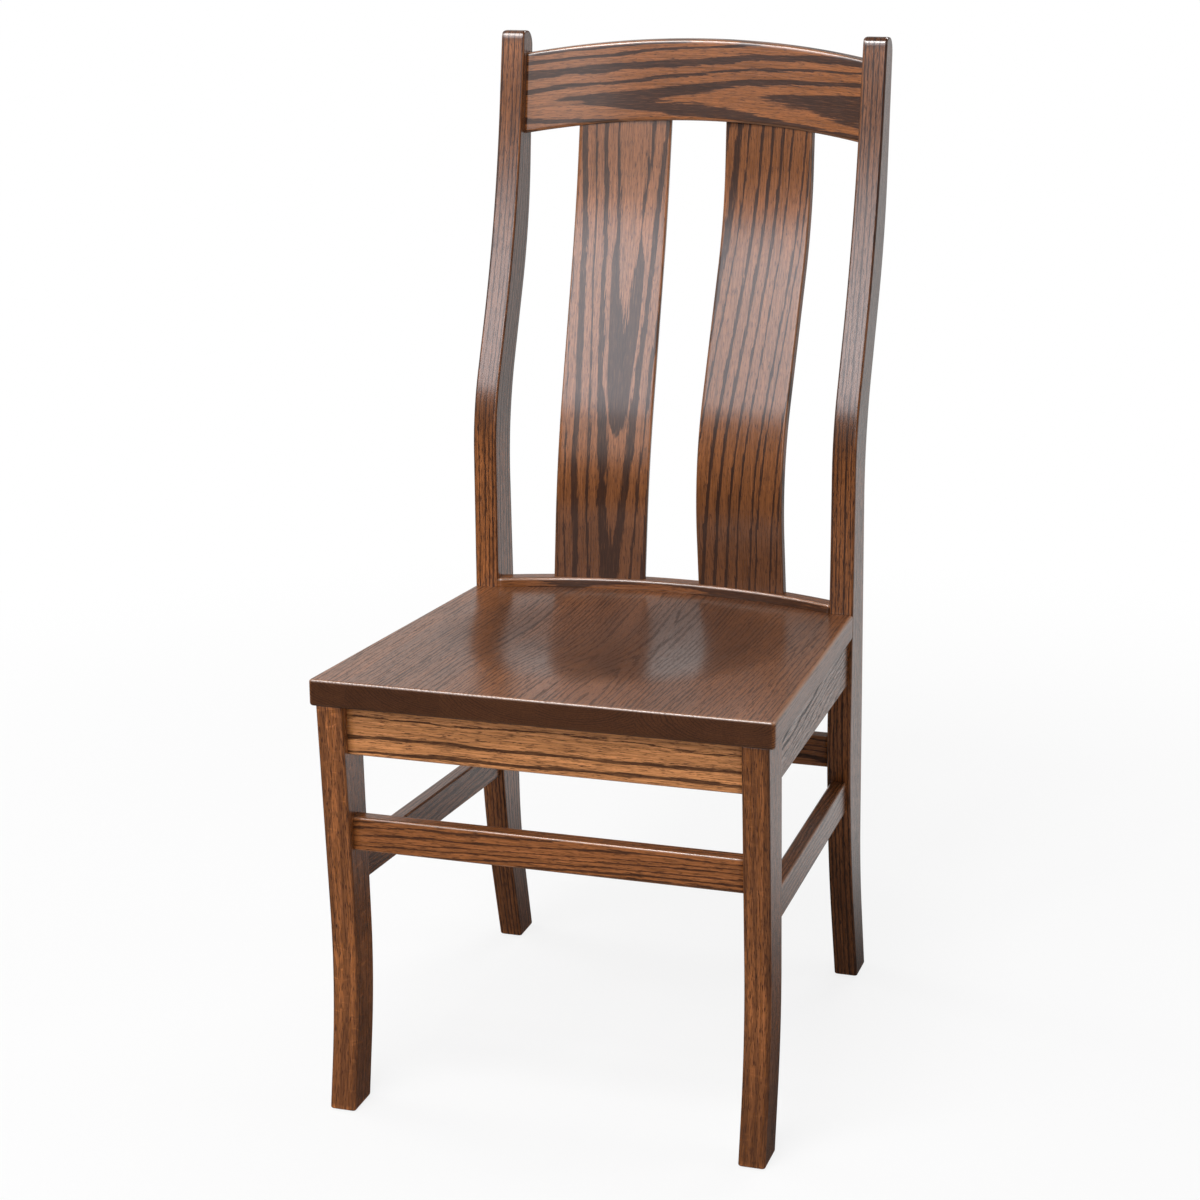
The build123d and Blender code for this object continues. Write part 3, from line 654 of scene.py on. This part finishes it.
def oak(name, offset, ring=0.006, pith=(0.0, 0.06), taper=0.01, wander=0.004, early=0.4, heart=None,
        heart_length=1.0, start=0.0, ragged=0.005, flecks=0.0, pores=0.8, contrast=0.9, tone=0.5,
        gloss=0.28, late=None, lift=1.0, bump=0.25, bare=0.3, attribute=True, boards=0.0):
    """Stained oak with its own figure, read from the piece's attributes or from object coordinates."""
    finish = bpy.context.scene.chair_finish
    material, wires, shader = new_material(name)
    figure = wires.group(oak_figure)
    coat = wires.group(stain)
    relief = figure.outputs["Height"]
    tones = figure.outputs["Tone"]
    if attribute:
        place = wires.attribute("grain", "Vector")
        end_grain = wires.attribute("end_grain")
        wires.feed(coat, {"Edge": wires.attribute("edge"), "End Grain": end_grain})
        relief = wires.times(relief, wires.step(end_grain, 0.5, 0.85, 1.0, 0.0))
    else:
        place = wires.object_place()
    if boards:
        plank = wires.group(glued_boards)
        wires.feed(plank, {"Place": place, "Board Width": boards})
        place = plank.outputs["Place"]
        offset = wires.vector("ADD", plank.outputs["Offset"], offset)
        tones = wires.math("ADD", tones, plank.outputs["Tone"])
    wires.feed(figure, {
        "Place": place, "Offset": offset, "Ring Width": ring, "Pith Across": pith[0],
        "Pith Deep": pith[1], "Taper": taper, "Wander": wander, "Early Share": early,
        "Heart Share": early if heart is None else heart, "Heart Length": heart_length,
        "Ring Start": start, "Ragged": ragged, "Fleck Amount": flecks,
    })
    wires.feed(coat, {label: figure.outputs[label] for label in ("Lines", "Pores", "Flecks")})
    wires.feed(coat, {
        "Tone": tones, "Late Wood": rgba(late or finish.late_wood, lift),
        "Early Wood": rgba(finish.early_wood, lift), "Rubbed And Highlit Wood": rgba(finish.rubbed_wood),
        "Contrast": contrast, "Depth Of Tone": tone, "Gloss": gloss, "Pore Depth": pores,
        "Open Grain": bare,
    })
    bumps = wires.node("ShaderNodeBump")
    wires.feed(bumps, {"Strength": bump, "Distance": 0.0004, "Height": relief})
    wires.feed(shader, {
        "Base Color": coat.outputs["Color"], "Roughness": coat.outputs["Roughness"],
        "Normal": bumps.outputs["Normal"], "Coat Weight": coat.outputs["Coat"],
        "Coat Roughness": gloss * 0.75, "Coat IOR": 1.5, "Specular IOR Level": 0.12,
    })
    return material


# Operators

class CHAIR_OT_rear_posts(bpy.types.Operator):
    """Rear posts, bent in side view, with rounded tops"""

    bl_idname = "chair.rear_posts"
    bl_label = "Rear posts"

    def execute(self, context):
        sizes = context.scene.chair_sizes
        lines = [rounded_line(corners)[1:-1] for corners in (POST_FRONT, POST_BACK)]
        both = dict(taper=0.004, wander=0.0006, early=0.34, ragged=0.002, contrast=1.0, pores=0.95,
                    tone=0.6, bump=0.35)
        figures = {
            "left": dict(offset=(1.3, 0.2, 0.7), ring=0.0034, pith=(0.20, 0.21), lift=1.3),
            "right": dict(offset=(2.6, 0.9, 0.1), ring=0.0032, pith=(-0.20, 0.21), lift=1.05),
        }
        for name, side in SIDES.items():
            middle = side * (sizes.post_outer - sizes.post_width / 2)
            piece = upright(f"post_{name}", lines, POST_TOP, middle, sizes.post_width, sizes.post_ease,
                            round_high=TOP_ROUNDING)
            fit(piece, f"rear_post_{name}", oak(f"oak_post_{name}", **both, **figures[name]))
        return {"FINISHED"}


class CHAIR_OT_front_legs(bpy.types.Operator):
    """Front legs, curved forward at the foot"""

    bl_idname = "chair.front_legs"
    bl_label = "Front legs"

    def execute(self, context):
        sizes = context.scene.chair_sizes
        lines = [rounded_line(corners)[1:] for corners in (LEG_FRONT, LEG_BACK)]
        both = dict(taper=0.004, wander=0.0005, ragged=0.003, contrast=0.5, pores=1.0, tone=0.55,
                    bump=0.4)
        figures = {
            "left": dict(offset=(0.4, 1.2, 0.3), ring=0.0026, pith=(0.05, 0.25), lift=1.55,
                         flecks=1.0),
            "right": dict(offset=(3.1, 0.5, 1.9), ring=0.0025, pith=(-0.06, 0.26), lift=1.25,
                          flecks=0.5),
        }
        for name, side in SIDES.items():
            middle = side * (sizes.leg_outer - sizes.leg_width / 2)
            piece = upright(f"leg_{name}", lines, LEG_TOP, middle, sizes.leg_width, sizes.post_ease,
                            round_high=0.0)
            fit(piece, f"front_leg_{name}", oak(f"oak_leg_{name}", **both, **figures[name]))
        return {"FINISHED"}


class CHAIR_OT_aprons(bpy.types.Operator):
    """Aprons of the seat frame"""

    bl_idname = "chair.aprons"
    bl_label = "Aprons"

    def execute(self, context):
        sizes = context.scene.chair_sizes
        pale = context.scene.chair_finish.pale_wood
        thick, tall = sizes.apron_thickness, sizes.apron_height
        into_legs, into_posts = reach_of_rails(sizes)
        both = dict(ring=0.014, taper=0.012, wander=0.005, early=0.24, late=pale, lift=1.18)
        for name, face, reach, offset, pith in (
            ("front_apron", 0.016, into_legs, (0.7, 0.3, 2.2), (0.09, 0.03)),
            ("rear_apron", 0.440, into_posts, (1.9, 1.1, 0.6), (-0.02, 0.05)),
        ):
            depth = face + thick / 2
            middle = under_seat(sizes, depth) - tall / 2
            piece = cross_rail(name, sizes, depth, middle, reach, thick, tall, -tan(sizes.seat_slope))
            fit(piece, name, oak(f"oak_{name}", offset, pith=pith, **both))
        both = dict(ring=0.0042, taper=0.05, wander=0.006, early=0.24, ragged=0.0025, contrast=1.0,
                    bare=0.8, bump=0.5)
        for name, side in SIDES.items():
            node, top = f"side_apron_{name}", under_seat(sizes, 0.0)
            piece = side_rail(f"side_apron_rail_{name}", side, sizes, top, thick, tall, overlap=0.004)
            fit(piece, node, oak(f"oak_{node}", (side * 2.1, 0.4, 1.3), pith=(0.05, side * 0.05), **both))
        return {"FINISHED"}


class CHAIR_OT_stretchers(bpy.types.Operator):
    """Stretchers between the legs"""

    bl_idname = "chair.stretchers"
    bl_label = "Stretchers"

    def execute(self, context):
        sizes = context.scene.chair_sizes
        thick, tall = sizes.stretcher_thickness, sizes.stretcher_height
        into_legs, into_posts = reach_of_rails(sizes)
        both = dict(ring=0.0034, taper=0.02, wander=0.003, early=0.36, ragged=0.0025, lift=1.18)
        for name, face, top, reach, offset, pith in (
            ("front_stretcher", 0.023, 0.3105, into_legs, (2.4, 0.8, 0.9), (0.05, 0.07)),
            ("rear_stretcher", 0.430, 0.2975, into_posts, (0.2, 1.7, 1.4), (-0.04, 0.06)),
        ):
            piece = cross_rail(name, sizes, face + thick / 2, top - tall / 2, reach, thick, tall)
            fit(piece, name, oak(f"oak_{name}", offset, pith=pith, **both))
        both = dict(ring=0.0038, taper=0.015, ragged=0.0025, contrast=0.65)
        for name, side in SIDES.items():
            node, top = f"side_stretcher_{name}", 0.2673
            piece = side_rail(f"side_stretcher_rail_{name}", side, sizes, top, thick, tall,
                              overlap=0.012)
            fit(piece, node, oak(f"oak_{node}", (side * 1.1, 2.4, 0.3), pith=(0.04, side * 0.06), **both))
        return {"FINISHED"}


class CHAIR_OT_lower_back_rail(bpy.types.Operator):
    """Lower back rail, bowed in plan along the seat's back edge"""

    bl_idname = "chair.lower_back_rail"
    bl_label = "Lower back rail"

    def execute(self, context):
        sizes = context.scene.chair_sizes
        half_span = half_back(sizes)
        reach = half_span + BACK_RAIL_SET_IN
        along = np.linspace(-reach, reach, num=90)
        bow = arc_rise(np.clip(along, -half_span, half_span), half_span, sizes.lower_rail_bow)
        front = FRONT + POST_FRONT_DEPTH + bow
        half_height = sizes.lower_rail_height / 2
        up, deep, edge = sections(half_height, front, front + sizes.lower_rail_thickness,
                                  sizes.lower_rail_ease)
        run = np.broadcast_to(along[:, None], up.shape)
        rings = np.stack([run, deep, up + lower_rail_top(sizes) - half_height], -1)
        grain = np.stack([run, up, deep - front[:, None]], -1)
        piece = closed_piece("lower_rail", rings, grain, edge)
        fit(piece, "lower_back_rail", oak("oak_lower_rail", (1.5, 0.1, 2.7), ring=0.005,
                                          pith=(0.02, 0.10)))
        return {"FINISHED"}


class CHAIR_OT_crest_rail(bpy.types.Operator):
    """Crest rail, bowed in plan, arched in front view and leaning back"""

    bl_idname = "chair.crest_rail"
    bl_label = "Crest rail"

    def execute(self, context):
        sizes = context.scene.chair_sizes
        half_span = half_back(sizes)
        reach = half_span + BACK_RAIL_SET_IN
        along = np.linspace(-reach, reach, num=110)
        inside = np.clip(along, -half_span, half_span)
        bow = arc_rise(inside, half_span, sizes.crest_bow)
        arch = arc_rise(inside, half_span, sizes.crest_rise)[:, None]
        up, deep, edge = sections(sizes.crest_height / 2, bow, bow + sizes.crest_thickness,
                                  sizes.crest_ease)
        climb = up + arch
        lean_cos, lean_sin = cos(sizes.crest_lean), sin(sizes.crest_lean)
        up_the_face = (climb + deep * lean_sin) / lean_cos
        back = FRONT + CREST_DEPTH + deep * lean_cos + up_the_face * lean_sin
        run = np.broadcast_to(along[:, None], up.shape)
        rings = np.stack([run, back, climb + crest_middle(sizes)], -1)
        grain = np.stack([run, climb - 0.5 * arch, deep - bow[:, None]], -1)
        piece = closed_piece("crest", rings, grain, edge)
        fit(piece, "crest_rail", oak("oak_crest", (0.9, 1.6, 0.2), ring=0.0098, pith=(-0.012, 0.030),
                                     taper=-0.05, wander=0.0045, early=0.42, heart=0.56, contrast=1.0,
                                     lift=1.12))
        return {"FINISHED"}


class CHAIR_OT_back_slats(bpy.types.Operator):
    """Back slats, bent along their length and turned towards the middle"""

    bl_idname = "chair.back_slats"
    bl_label = "Back slats"

    def ends(self, sizes):
        """Depth and height of a slat's face at the lower rail's top and at the crest's underside."""
        half_span = half_back(sizes)
        rail_bow, crest_bow, crest_rise = (
            float(arc_rise(sizes.slat_centre, half_span, rise))
            for rise in (sizes.lower_rail_bow, sizes.crest_bow, sizes.crest_rise))
        below_middle = crest_rise - sizes.crest_height / 2
        low = (POST_FRONT_DEPTH + rail_bow + SLAT_SET_BACK, lower_rail_top(sizes))
        high = (CREST_DEPTH + below_middle * tan(sizes.crest_lean) + crest_bow + SLAT_SET_BACK,
                crest_middle(sizes) + below_middle)
        return np.array(low), np.array(high)

    def execute(self, context):
        sizes = context.scene.chair_sizes
        low, high = self.ends(sizes)
        chord = np.array([0, *(high - low)])
        chord /= np.linalg.norm(chord)
        line = rounded_line(SLAT_BENDS, steps=30)
        even = np.linspace(line[0, 0], line[-1, 0], num=130)
        place = np.stack([even, np.interp(even, line[:, 0], line[:, 1])], -1)
        tangent = np.gradient(place, axis=0)
        tangent /= np.linalg.norm(tangent, axis=1, keepdims=True)
        run = np.concatenate([[0], np.cumsum(np.linalg.norm(np.diff(place, axis=0), axis=1))])
        slope = tangent[:, 1] / tangent[:, 0]
        sunk_in = np.maximum(FORWARD_STAIN * slope, -BACKWARD_STAIN * slope)
        run_out = np.clip(sunk_in, 0, MOST_SLAT_STAIN)
        across, deep, edge = sections(np.full(len(even), sizes.slat_width / 2), 0.0,
                                      sizes.slat_thickness, sizes.slat_ease)
        grain = np.stack([np.broadcast_to(run[:, None] - run[-1] / 2, across.shape), across, deep], -1)
        end_grain = np.broadcast_to(run_out[:, None], across.shape)
        step_along = place[:, :1] + tangent[:, 1:] * deep
        step_forward = place[:, 1:] - tangent[:, :1] * deep
        both = dict(ragged=0.0065, contrast=1.0)
        figures = {
            "left": dict(offset=(0.6, 2.2, 1.2), ring=0.0095, pith=(0.012, 0.028), taper=-0.03,
                         wander=0.0028, early=0.24, heart=0.88, heart_length=0.1, start=0.36,
                         lift=1.22),
            "right": dict(offset=(1.7, 0.6, 2.0), ring=0.0105, pith=(-0.10, 0.06), taper=-0.06,
                          wander=0.001, early=0.38),
        }
        for name, side in SIDES.items():
            across_way = np.array([cos(sizes.slat_turn), -side * sin(sizes.slat_turn), 0])
            across_way -= chord * (across_way @ chord)
            across_way /= np.linalg.norm(across_way)
            forward = np.cross(across_way, chord)
            forward *= np.sign(-forward[1])
            origin = np.array([side * sizes.slat_centre, FRONT + low[0], low[1]])
            rings = (origin + step_along[..., None] * chord + step_forward[..., None] * forward
                     + across[..., None] * across_way)
            piece = closed_piece(f"slat_{name}", rings, grain, edge, end_grain)
            fit(piece, f"back_slat_{name}", oak(f"oak_slat_{name}", **both, **figures[name]))
        return {"FINISHED"}


class CHAIR_OT_seat(bpy.types.Operator):
    """Seat plank with a hollow in its top and a back edge that follows the lower rail"""

    bl_idname = "chair.seat"
    bl_label = "Seat"

    def outline(self, sizes, inset):
        """Plan of the plank drawn in by an inset: straight runs, corner arcs and a bowed back edge."""
        half_span = half_back(sizes)
        taper = (sizes.seat_front_half - sizes.post_outer) / sizes.seat_depth
        side = sizes.seat_front_half - inset * sqrt(1 + taper**2)
        back = sizes.seat_depth - inset
        corner = max(sizes.seat_corner - inset, 0.0002) / MM
        sharp = 0.2
        front_x, back_x, inner_x, front_y, back_y = (
            size / MM for size in (side - taper * inset, side - taper * back, half_span, inset, back))
        runs = ((-inner_x, back_y, 0), (-back_x, back_y, sharp), (-front_x, front_y, corner),
                (front_x, front_y, corner), (back_x, back_y, sharp), (inner_x, back_y, 0))
        arc_points, run_points = 9, (4, 50, 60, 50, 4)
        start, *arcs = np.split(rounded_line(runs, arc_points), 1 + arc_points * np.arange(5))
        filled = [start]
        for arc, count in zip(arcs, run_points):
            along = np.linspace(0, 1, count + 1)[1:-1, None]
            filled += [filled[-1][-1:] * (1 - along) + arc[:1] * along, arc]
        edge_x = np.linspace(half_span, -half_span, num=81)[1:-1]
        bowed = np.stack([edge_x, back + arc_rise(edge_x, half_span, sizes.lower_rail_bow)], -1)
        return np.concatenate(filled + [bowed])

    def execute(self, context):
        """Rings go from the hollow's middle out to the rim, down the side and in along the underside.

        The hollow is its depth times (1 - r * r) squared, where r is the distance from its middle over
        its radius.
        """
        sizes = context.scene.chair_sizes
        ease, thick = sizes.seat_ease, sizes.seat_thickness
        turn = np.linspace(0, np.pi / 2, num=7)
        centre = np.array([0.0, sizes.dish_centre])
        rounded = [self.outline(sizes, ease * (1 - np.sin(bend))) for bend in turn]
        shelf, rim = rounded[0], rounded[-1]
        top_shares = np.concatenate([np.linspace(0.02, 0.985, 70), [0.996]])
        side_shares = np.array([0.03, 0.35, 0.65, 0.97])
        under_shares = np.array([0.99, 0.7, 0.4, 0.1])
        top_rings, under_rings = ([centre + (shelf - centre) * share for share in shares]
                                  for shares in (top_shares, under_shares))
        plan = np.array(top_rings + rounded + [rim] * len(side_shares) + rounded[::-1] + under_rings)
        rounding = ease * (1 - np.cos(turn))
        drop = np.concatenate([0 * top_shares, -rounding, -ease - side_shares * (thick - 2 * ease),
                               rounding[::-1] - thick, 0 * under_shares - thick])[:, None]
        tops, rounds = len(top_shares), len(turn)
        sides = tops + rounds + len(side_shares)
        top, upper, lower = slice(tops), slice(tops, tops + rounds), slice(sides, sides + rounds)

        from_middle = np.linalg.norm(plan - centre, axis=-1) / sizes.dish_radius
        dish = sizes.dish_depth * np.clip(1 - from_middle**2, 0, 1) ** 2
        dish[tops:] = 0
        height = sizes.seat_height - tan(sizes.seat_slope) * plan[..., 1] + drop - dish
        points = np.stack([plan[..., 0], FRONT + plan[..., 1], height], -1)
        edge = np.zeros(height.shape)
        # The upper rim is paled more than other edges: a painted highlight along the seat's top edge,
        # over wear
        rim_wear_and_highlight = 1.8
        edge[upper] = rim_wear_and_highlight * np.sin(2 * turn)[:, None]
        edge[lower] = np.sin(2 * turn[::-1])[:, None]

        # Stain sinks in on the front and back faces and towards the right, and the hollow is made darker
        ahead = np.roll(rim, -1, 0) - np.roll(rim, 1, 0)
        falloff = 6
        front_back = (ahead[:, 0] / np.linalg.norm(ahead, axis=1)) ** falloff
        end_grain = np.zeros(height.shape)
        end_grain[tops:sides + rounds] = FACE_STAIN * front_back
        end_grain[upper] *= np.sin(turn)[:, None] ** 2
        hollow = np.clip(1 - from_middle**4, 0, 1)
        right_start, right_width = -0.14, 0.24
        right = np.clip((plan[..., 0] - right_start) / right_width, 0, 1)
        right = right * right * (3 - 2 * right)
        sunk_in = np.minimum(HOLLOW_DARKENING * hollow + RIGHT_STAIN * right, MOST_TOP_DARKENING)
        end_grain[top] = sunk_in[top]
        grain_middle, drop_share, dish_share = 0.2, 2.2, 0.4
        grain_depth = drop_share * drop - dish_share * dish
        grain = np.stack([plan[..., 1] - grain_middle, plan[..., 0], grain_depth], -1)
        piece = closed_piece("seat_plank", points, grain, edge, end_grain)
        fit(piece, "seat", oak("oak_seat", (2.0, 1.4, 0.5), ring=0.0042, pith=(0.0, 0.03), taper=0.02,
                               wander=0.003, early=0.3, gloss=0.32, contrast=0.75, lift=0.97, bump=0.03,
                               bare=0.65, boards=0.097))
        return {"FINISHED"}


class CHAIR_OT_blocks_and_screws(bpy.types.Operator):
    """Finish of the corner blocks and the screws under the seat"""

    bl_idname = "chair.blocks_and_screws"
    bl_label = "Blocks and screws"

    def execute(self, context):
        wood = oak("oak_block", (0.3, 0.8, 1.1), pith=(0.05, 0.2), taper=0.02, gloss=0.5,
                   attribute=False)
        steel, wires, shader = new_material("zinc_steel")
        tint = context.scene.chair_finish.steel
        cloud = wires.noise(wires.object_place(), scale=900.0, detail=3.0, roughness=0.6)
        wires.feed(shader, {
            "Base Color": wires.mix(cloud, rgba(tint, 0.75), rgba(tint, 1.1)),
            "Roughness": wires.step(cloud, 0.3, 0.7, 0.25, 0.45),
            "Metallic": 1.0,
        })
        for name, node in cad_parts.items():
            if name.endswith("screws") or name.startswith("corner_block_"):
                node.data.materials.clear()
                node.data.materials.append(steel if name.endswith("screws") else wood)
        return {"FINISHED"}


class CHAIR_OT_stage(bpy.types.Operator):
    """Pale floor, soft lights and the camera"""

    bl_idname = "chair.stage"
    bl_label = "Stage"

    def floor(self, context):
        """Level disc of rings round the chair, white to the camera and mirrored, with its shadow."""
        radii, around, just_below = np.linspace(0.4, 12.0, 24), 64, -0.0005
        turn = np.linspace(0, 2 * np.pi, around, endpoint=False)
        across, along = np.outer(radii, np.cos(turn)), np.outer(radii, np.sin(turn))
        points = np.stack([across, along, np.full(across.shape, just_below)], -1).reshape(-1, 3)
        index = np.arange(len(points)).reshape(len(radii), around)
        near, far = index[:-1], index[1:]
        quads = np.stack([near, far, np.roll(far, -1, 1), np.roll(near, -1, 1)], -1).reshape(-1, 4)
        mesh = bpy.data.meshes.new("studio_floor")
        mesh.from_pydata(points, [], quads.tolist() + [index[0].tolist()])
        floor = bpy.data.objects.new("studio_floor", mesh)
        context.scene.collection.objects.link(floor)
        material, wires, shader = new_material("pale_floor")
        wires.feed(shader, {"Base Color": rgba(context.scene.chair_finish.floor), "Roughness": 0.9,
                            "Specular IOR Level": 0.0})
        place = wires.object_place()
        distance = wires.vector("LENGTH", place)
        rays = wires.node("ShaderNodeLightPath").outputs
        mirrored = wires.most(rays["Is Glossy Ray"], rays["Is Transmission Ray"])
        behind = wires.step(wires.split(place)[1], -0.5, 0.4)
        open_floor = wires.times(wires.step(distance, 0.2, 0.8), behind)
        brightness = wires.most(rays["Is Camera Ray"], wires.scaled(open_floor, 0.5, 0.04))
        white = wires.node("ShaderNodeEmission", WHITE, brightness)
        away = wires.step(distance, 0.7, 2.0, 0.82, 1.0)
        whitened = wires.most(wires.times(away, rays["Is Camera Ray"]), mirrored)
        blend = wires.node("ShaderNodeMixShader", whitened, shader.outputs[0], white.outputs[0])
        wires.put(material.node_tree.nodes["Material Output"].inputs["Surface"], blend.outputs[0])
        mesh.materials.append(material)

    def world(self, context):
        """White to the camera, soft fill on the wood, and mirrored a studio darker on the right."""
        world = bpy.data.worlds.new("studio")
        world.use_nodes = True
        context.scene.world = world
        wires = Wiring(world.node_tree)
        rays = wires.node("ShaderNodeLightPath").outputs
        mirrored = wires.most(rays["Is Glossy Ray"], rays["Is Transmission Ray"])
        across, along, up = wires.split(wires.node("ShaderNodeTexCoord").outputs["Generated"])
        tilt = wires.scaled(along, 0.8, up)
        darker = wires.times(wires.step(up, 0.0, 0.2), wires.step(across, -0.38, -0.2, 0.0, 0.85))
        studio = wires.times(mirrored, wires.step(tilt, -0.8, 0.4, 0.05, 0.62),
                             wires.math("SUBTRACT", 1.0, darker))
        fill = wires.times(rays["Is Diffuse Ray"], 0.3)
        level = wires.most(wires.most(rays["Is Camera Ray"], studio), fill)
        wires.feed(world.node_tree.nodes["Background"], {"Color": WHITE, "Strength": level})

    def softbox(self, context, name, place, aim, size, power, diffuse=True, glossy=True,
                tint=WHITE[:3]):
        """Rectangular light aimed at a point, for the wood's colour, its reflections or both."""
        name = f"{name}_softbox"
        light = bpy.data.lights.new(name, "AREA")
        light.shape = "RECTANGLE"
        light.size, light.size_y = size
        light.energy = power
        light.color = tint
        lamp = bpy.data.objects.new(name, light)
        lamp.location = place
        lamp.visible_camera = False
        lamp.visible_diffuse = diffuse
        lamp.visible_glossy = glossy
        lamp.rotation_euler = (Vector(aim) - Vector(place)).to_track_quat("-Z", "Y").to_euler()
        context.scene.collection.objects.link(lamp)

    def camera(self, context):
        """Camera at the photograph's angle, from its turn, fall and roll."""
        place = (0.8056, -2.6181, 1.2638)
        yaw, pitch, roll = radians(17.684), radians(16.077), radians(0.371)
        forward = Vector((-sin(yaw) * cos(pitch), cos(yaw) * cos(pitch), -sin(pitch)))
        level = Vector((cos(yaw), sin(yaw), 0))
        down = forward.cross(level)
        right = cos(roll) * level + sin(roll) * down
        down = -sin(roll) * level + cos(roll) * down
        data = bpy.data.cameras.new("photo_camera")
        data.sensor_width = 36.0
        data.lens = 82.42
        camera = bpy.data.objects.new("photo_camera", data)
        turn = Matrix((right, -down, -forward)).transposed().to_4x4()
        camera.matrix_world = Matrix.Translation(place) @ turn
        context.scene.collection.objects.link(camera)
        context.scene.camera = camera

    def execute(self, context):
        self.floor(context)
        self.world(context)
        for lamp in (
            dict(name="front", place=(-0.75, -2.5, 2.3), aim=(0, 0, 0.75), size=(2.8, 1.1),
                 power=55, glossy=False),
            dict(name="sheen", place=(-0.75, -2.5, 2.33), aim=(0, 0, 0.78), size=(2.8, 1.05),
                 power=54, diffuse=False, tint=(0.86, 0.92, 1.0)),
            dict(name="key", place=(-0.2, -1.4, 2.9), aim=(0, 0, 0.6), size=(0.9, 0.6), power=36),
            dict(name="fill", place=(0.35, -3.0, 1.35), aim=(0, 0, 0.8), size=(1.0, 0.8), power=6),
            dict(name="back", place=(0.6, 2.3, 2.7), aim=(0, 0, 0.6), size=(1.6, 1.0), power=32),
            dict(name="left", place=(-2.5, 0.4, 1.9), aim=(0, 0, 0.6), size=(1.2, 1.2), power=24),
            dict(name="right", place=(2.5, 0.4, 1.9), aim=(0, 0, 0.6), size=(1.2, 1.2), power=14),
            dict(name="rim", place=(-0.64, -0.86, 2.46), aim=(0, -0.25, 0.45), size=(1.8, 0.9),
                 power=85, diffuse=False),
        ):
            self.softbox(context, **lamp)
        self.camera(context)
        context.scene.view_settings.view_transform = "Standard"
        return {"FINISHED"}


STEPS = (CHAIR_OT_rear_posts, CHAIR_OT_front_legs, CHAIR_OT_aprons, CHAIR_OT_stretchers,
         CHAIR_OT_lower_back_rail, CHAIR_OT_crest_rail, CHAIR_OT_back_slats, CHAIR_OT_seat,
         CHAIR_OT_blocks_and_screws, CHAIR_OT_stage)


class CHAIR_PT_pieces(bpy.types.Panel):
    """Lists the chair's pieces with their sizes and colours"""

    bl_label = "Stained oak chair"
    bl_idname = "CHAIR_PT_pieces"
    bl_space_type = "VIEW_3D"
    bl_region_type = "UI"
    bl_category = "Chair"

    def draw(self, context):
        for step in STEPS:
            self.layout.operator(step.bl_idname)
        for group in (context.scene.chair_sizes, context.scene.chair_finish):
            for key in group.bl_rna.properties.keys():
                if key not in ("rna_type", "name"):
                    self.layout.prop(group, key)


CLASSES = (ChairSizes, ChairFinish, *STEPS, CHAIR_PT_pieces)


def register():
    for cls in CLASSES:
        bpy.utils.register_class(cls)
    bpy.types.Scene.chair_sizes = PointerProperty(type=ChairSizes)
    bpy.types.Scene.chair_finish = PointerProperty(type=ChairFinish)


def unregister():
    del bpy.types.Scene.chair_finish
    del bpy.types.Scene.chair_sizes
    for cls in reversed(CLASSES):
        bpy.utils.unregister_class(cls)


def main():
    """Register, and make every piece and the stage."""
    register()
    for step in STEPS:
        group, action = step.bl_idname.split(".")
        getattr(getattr(bpy.ops, group), action)()


if __name__ == "__main__":
    main()
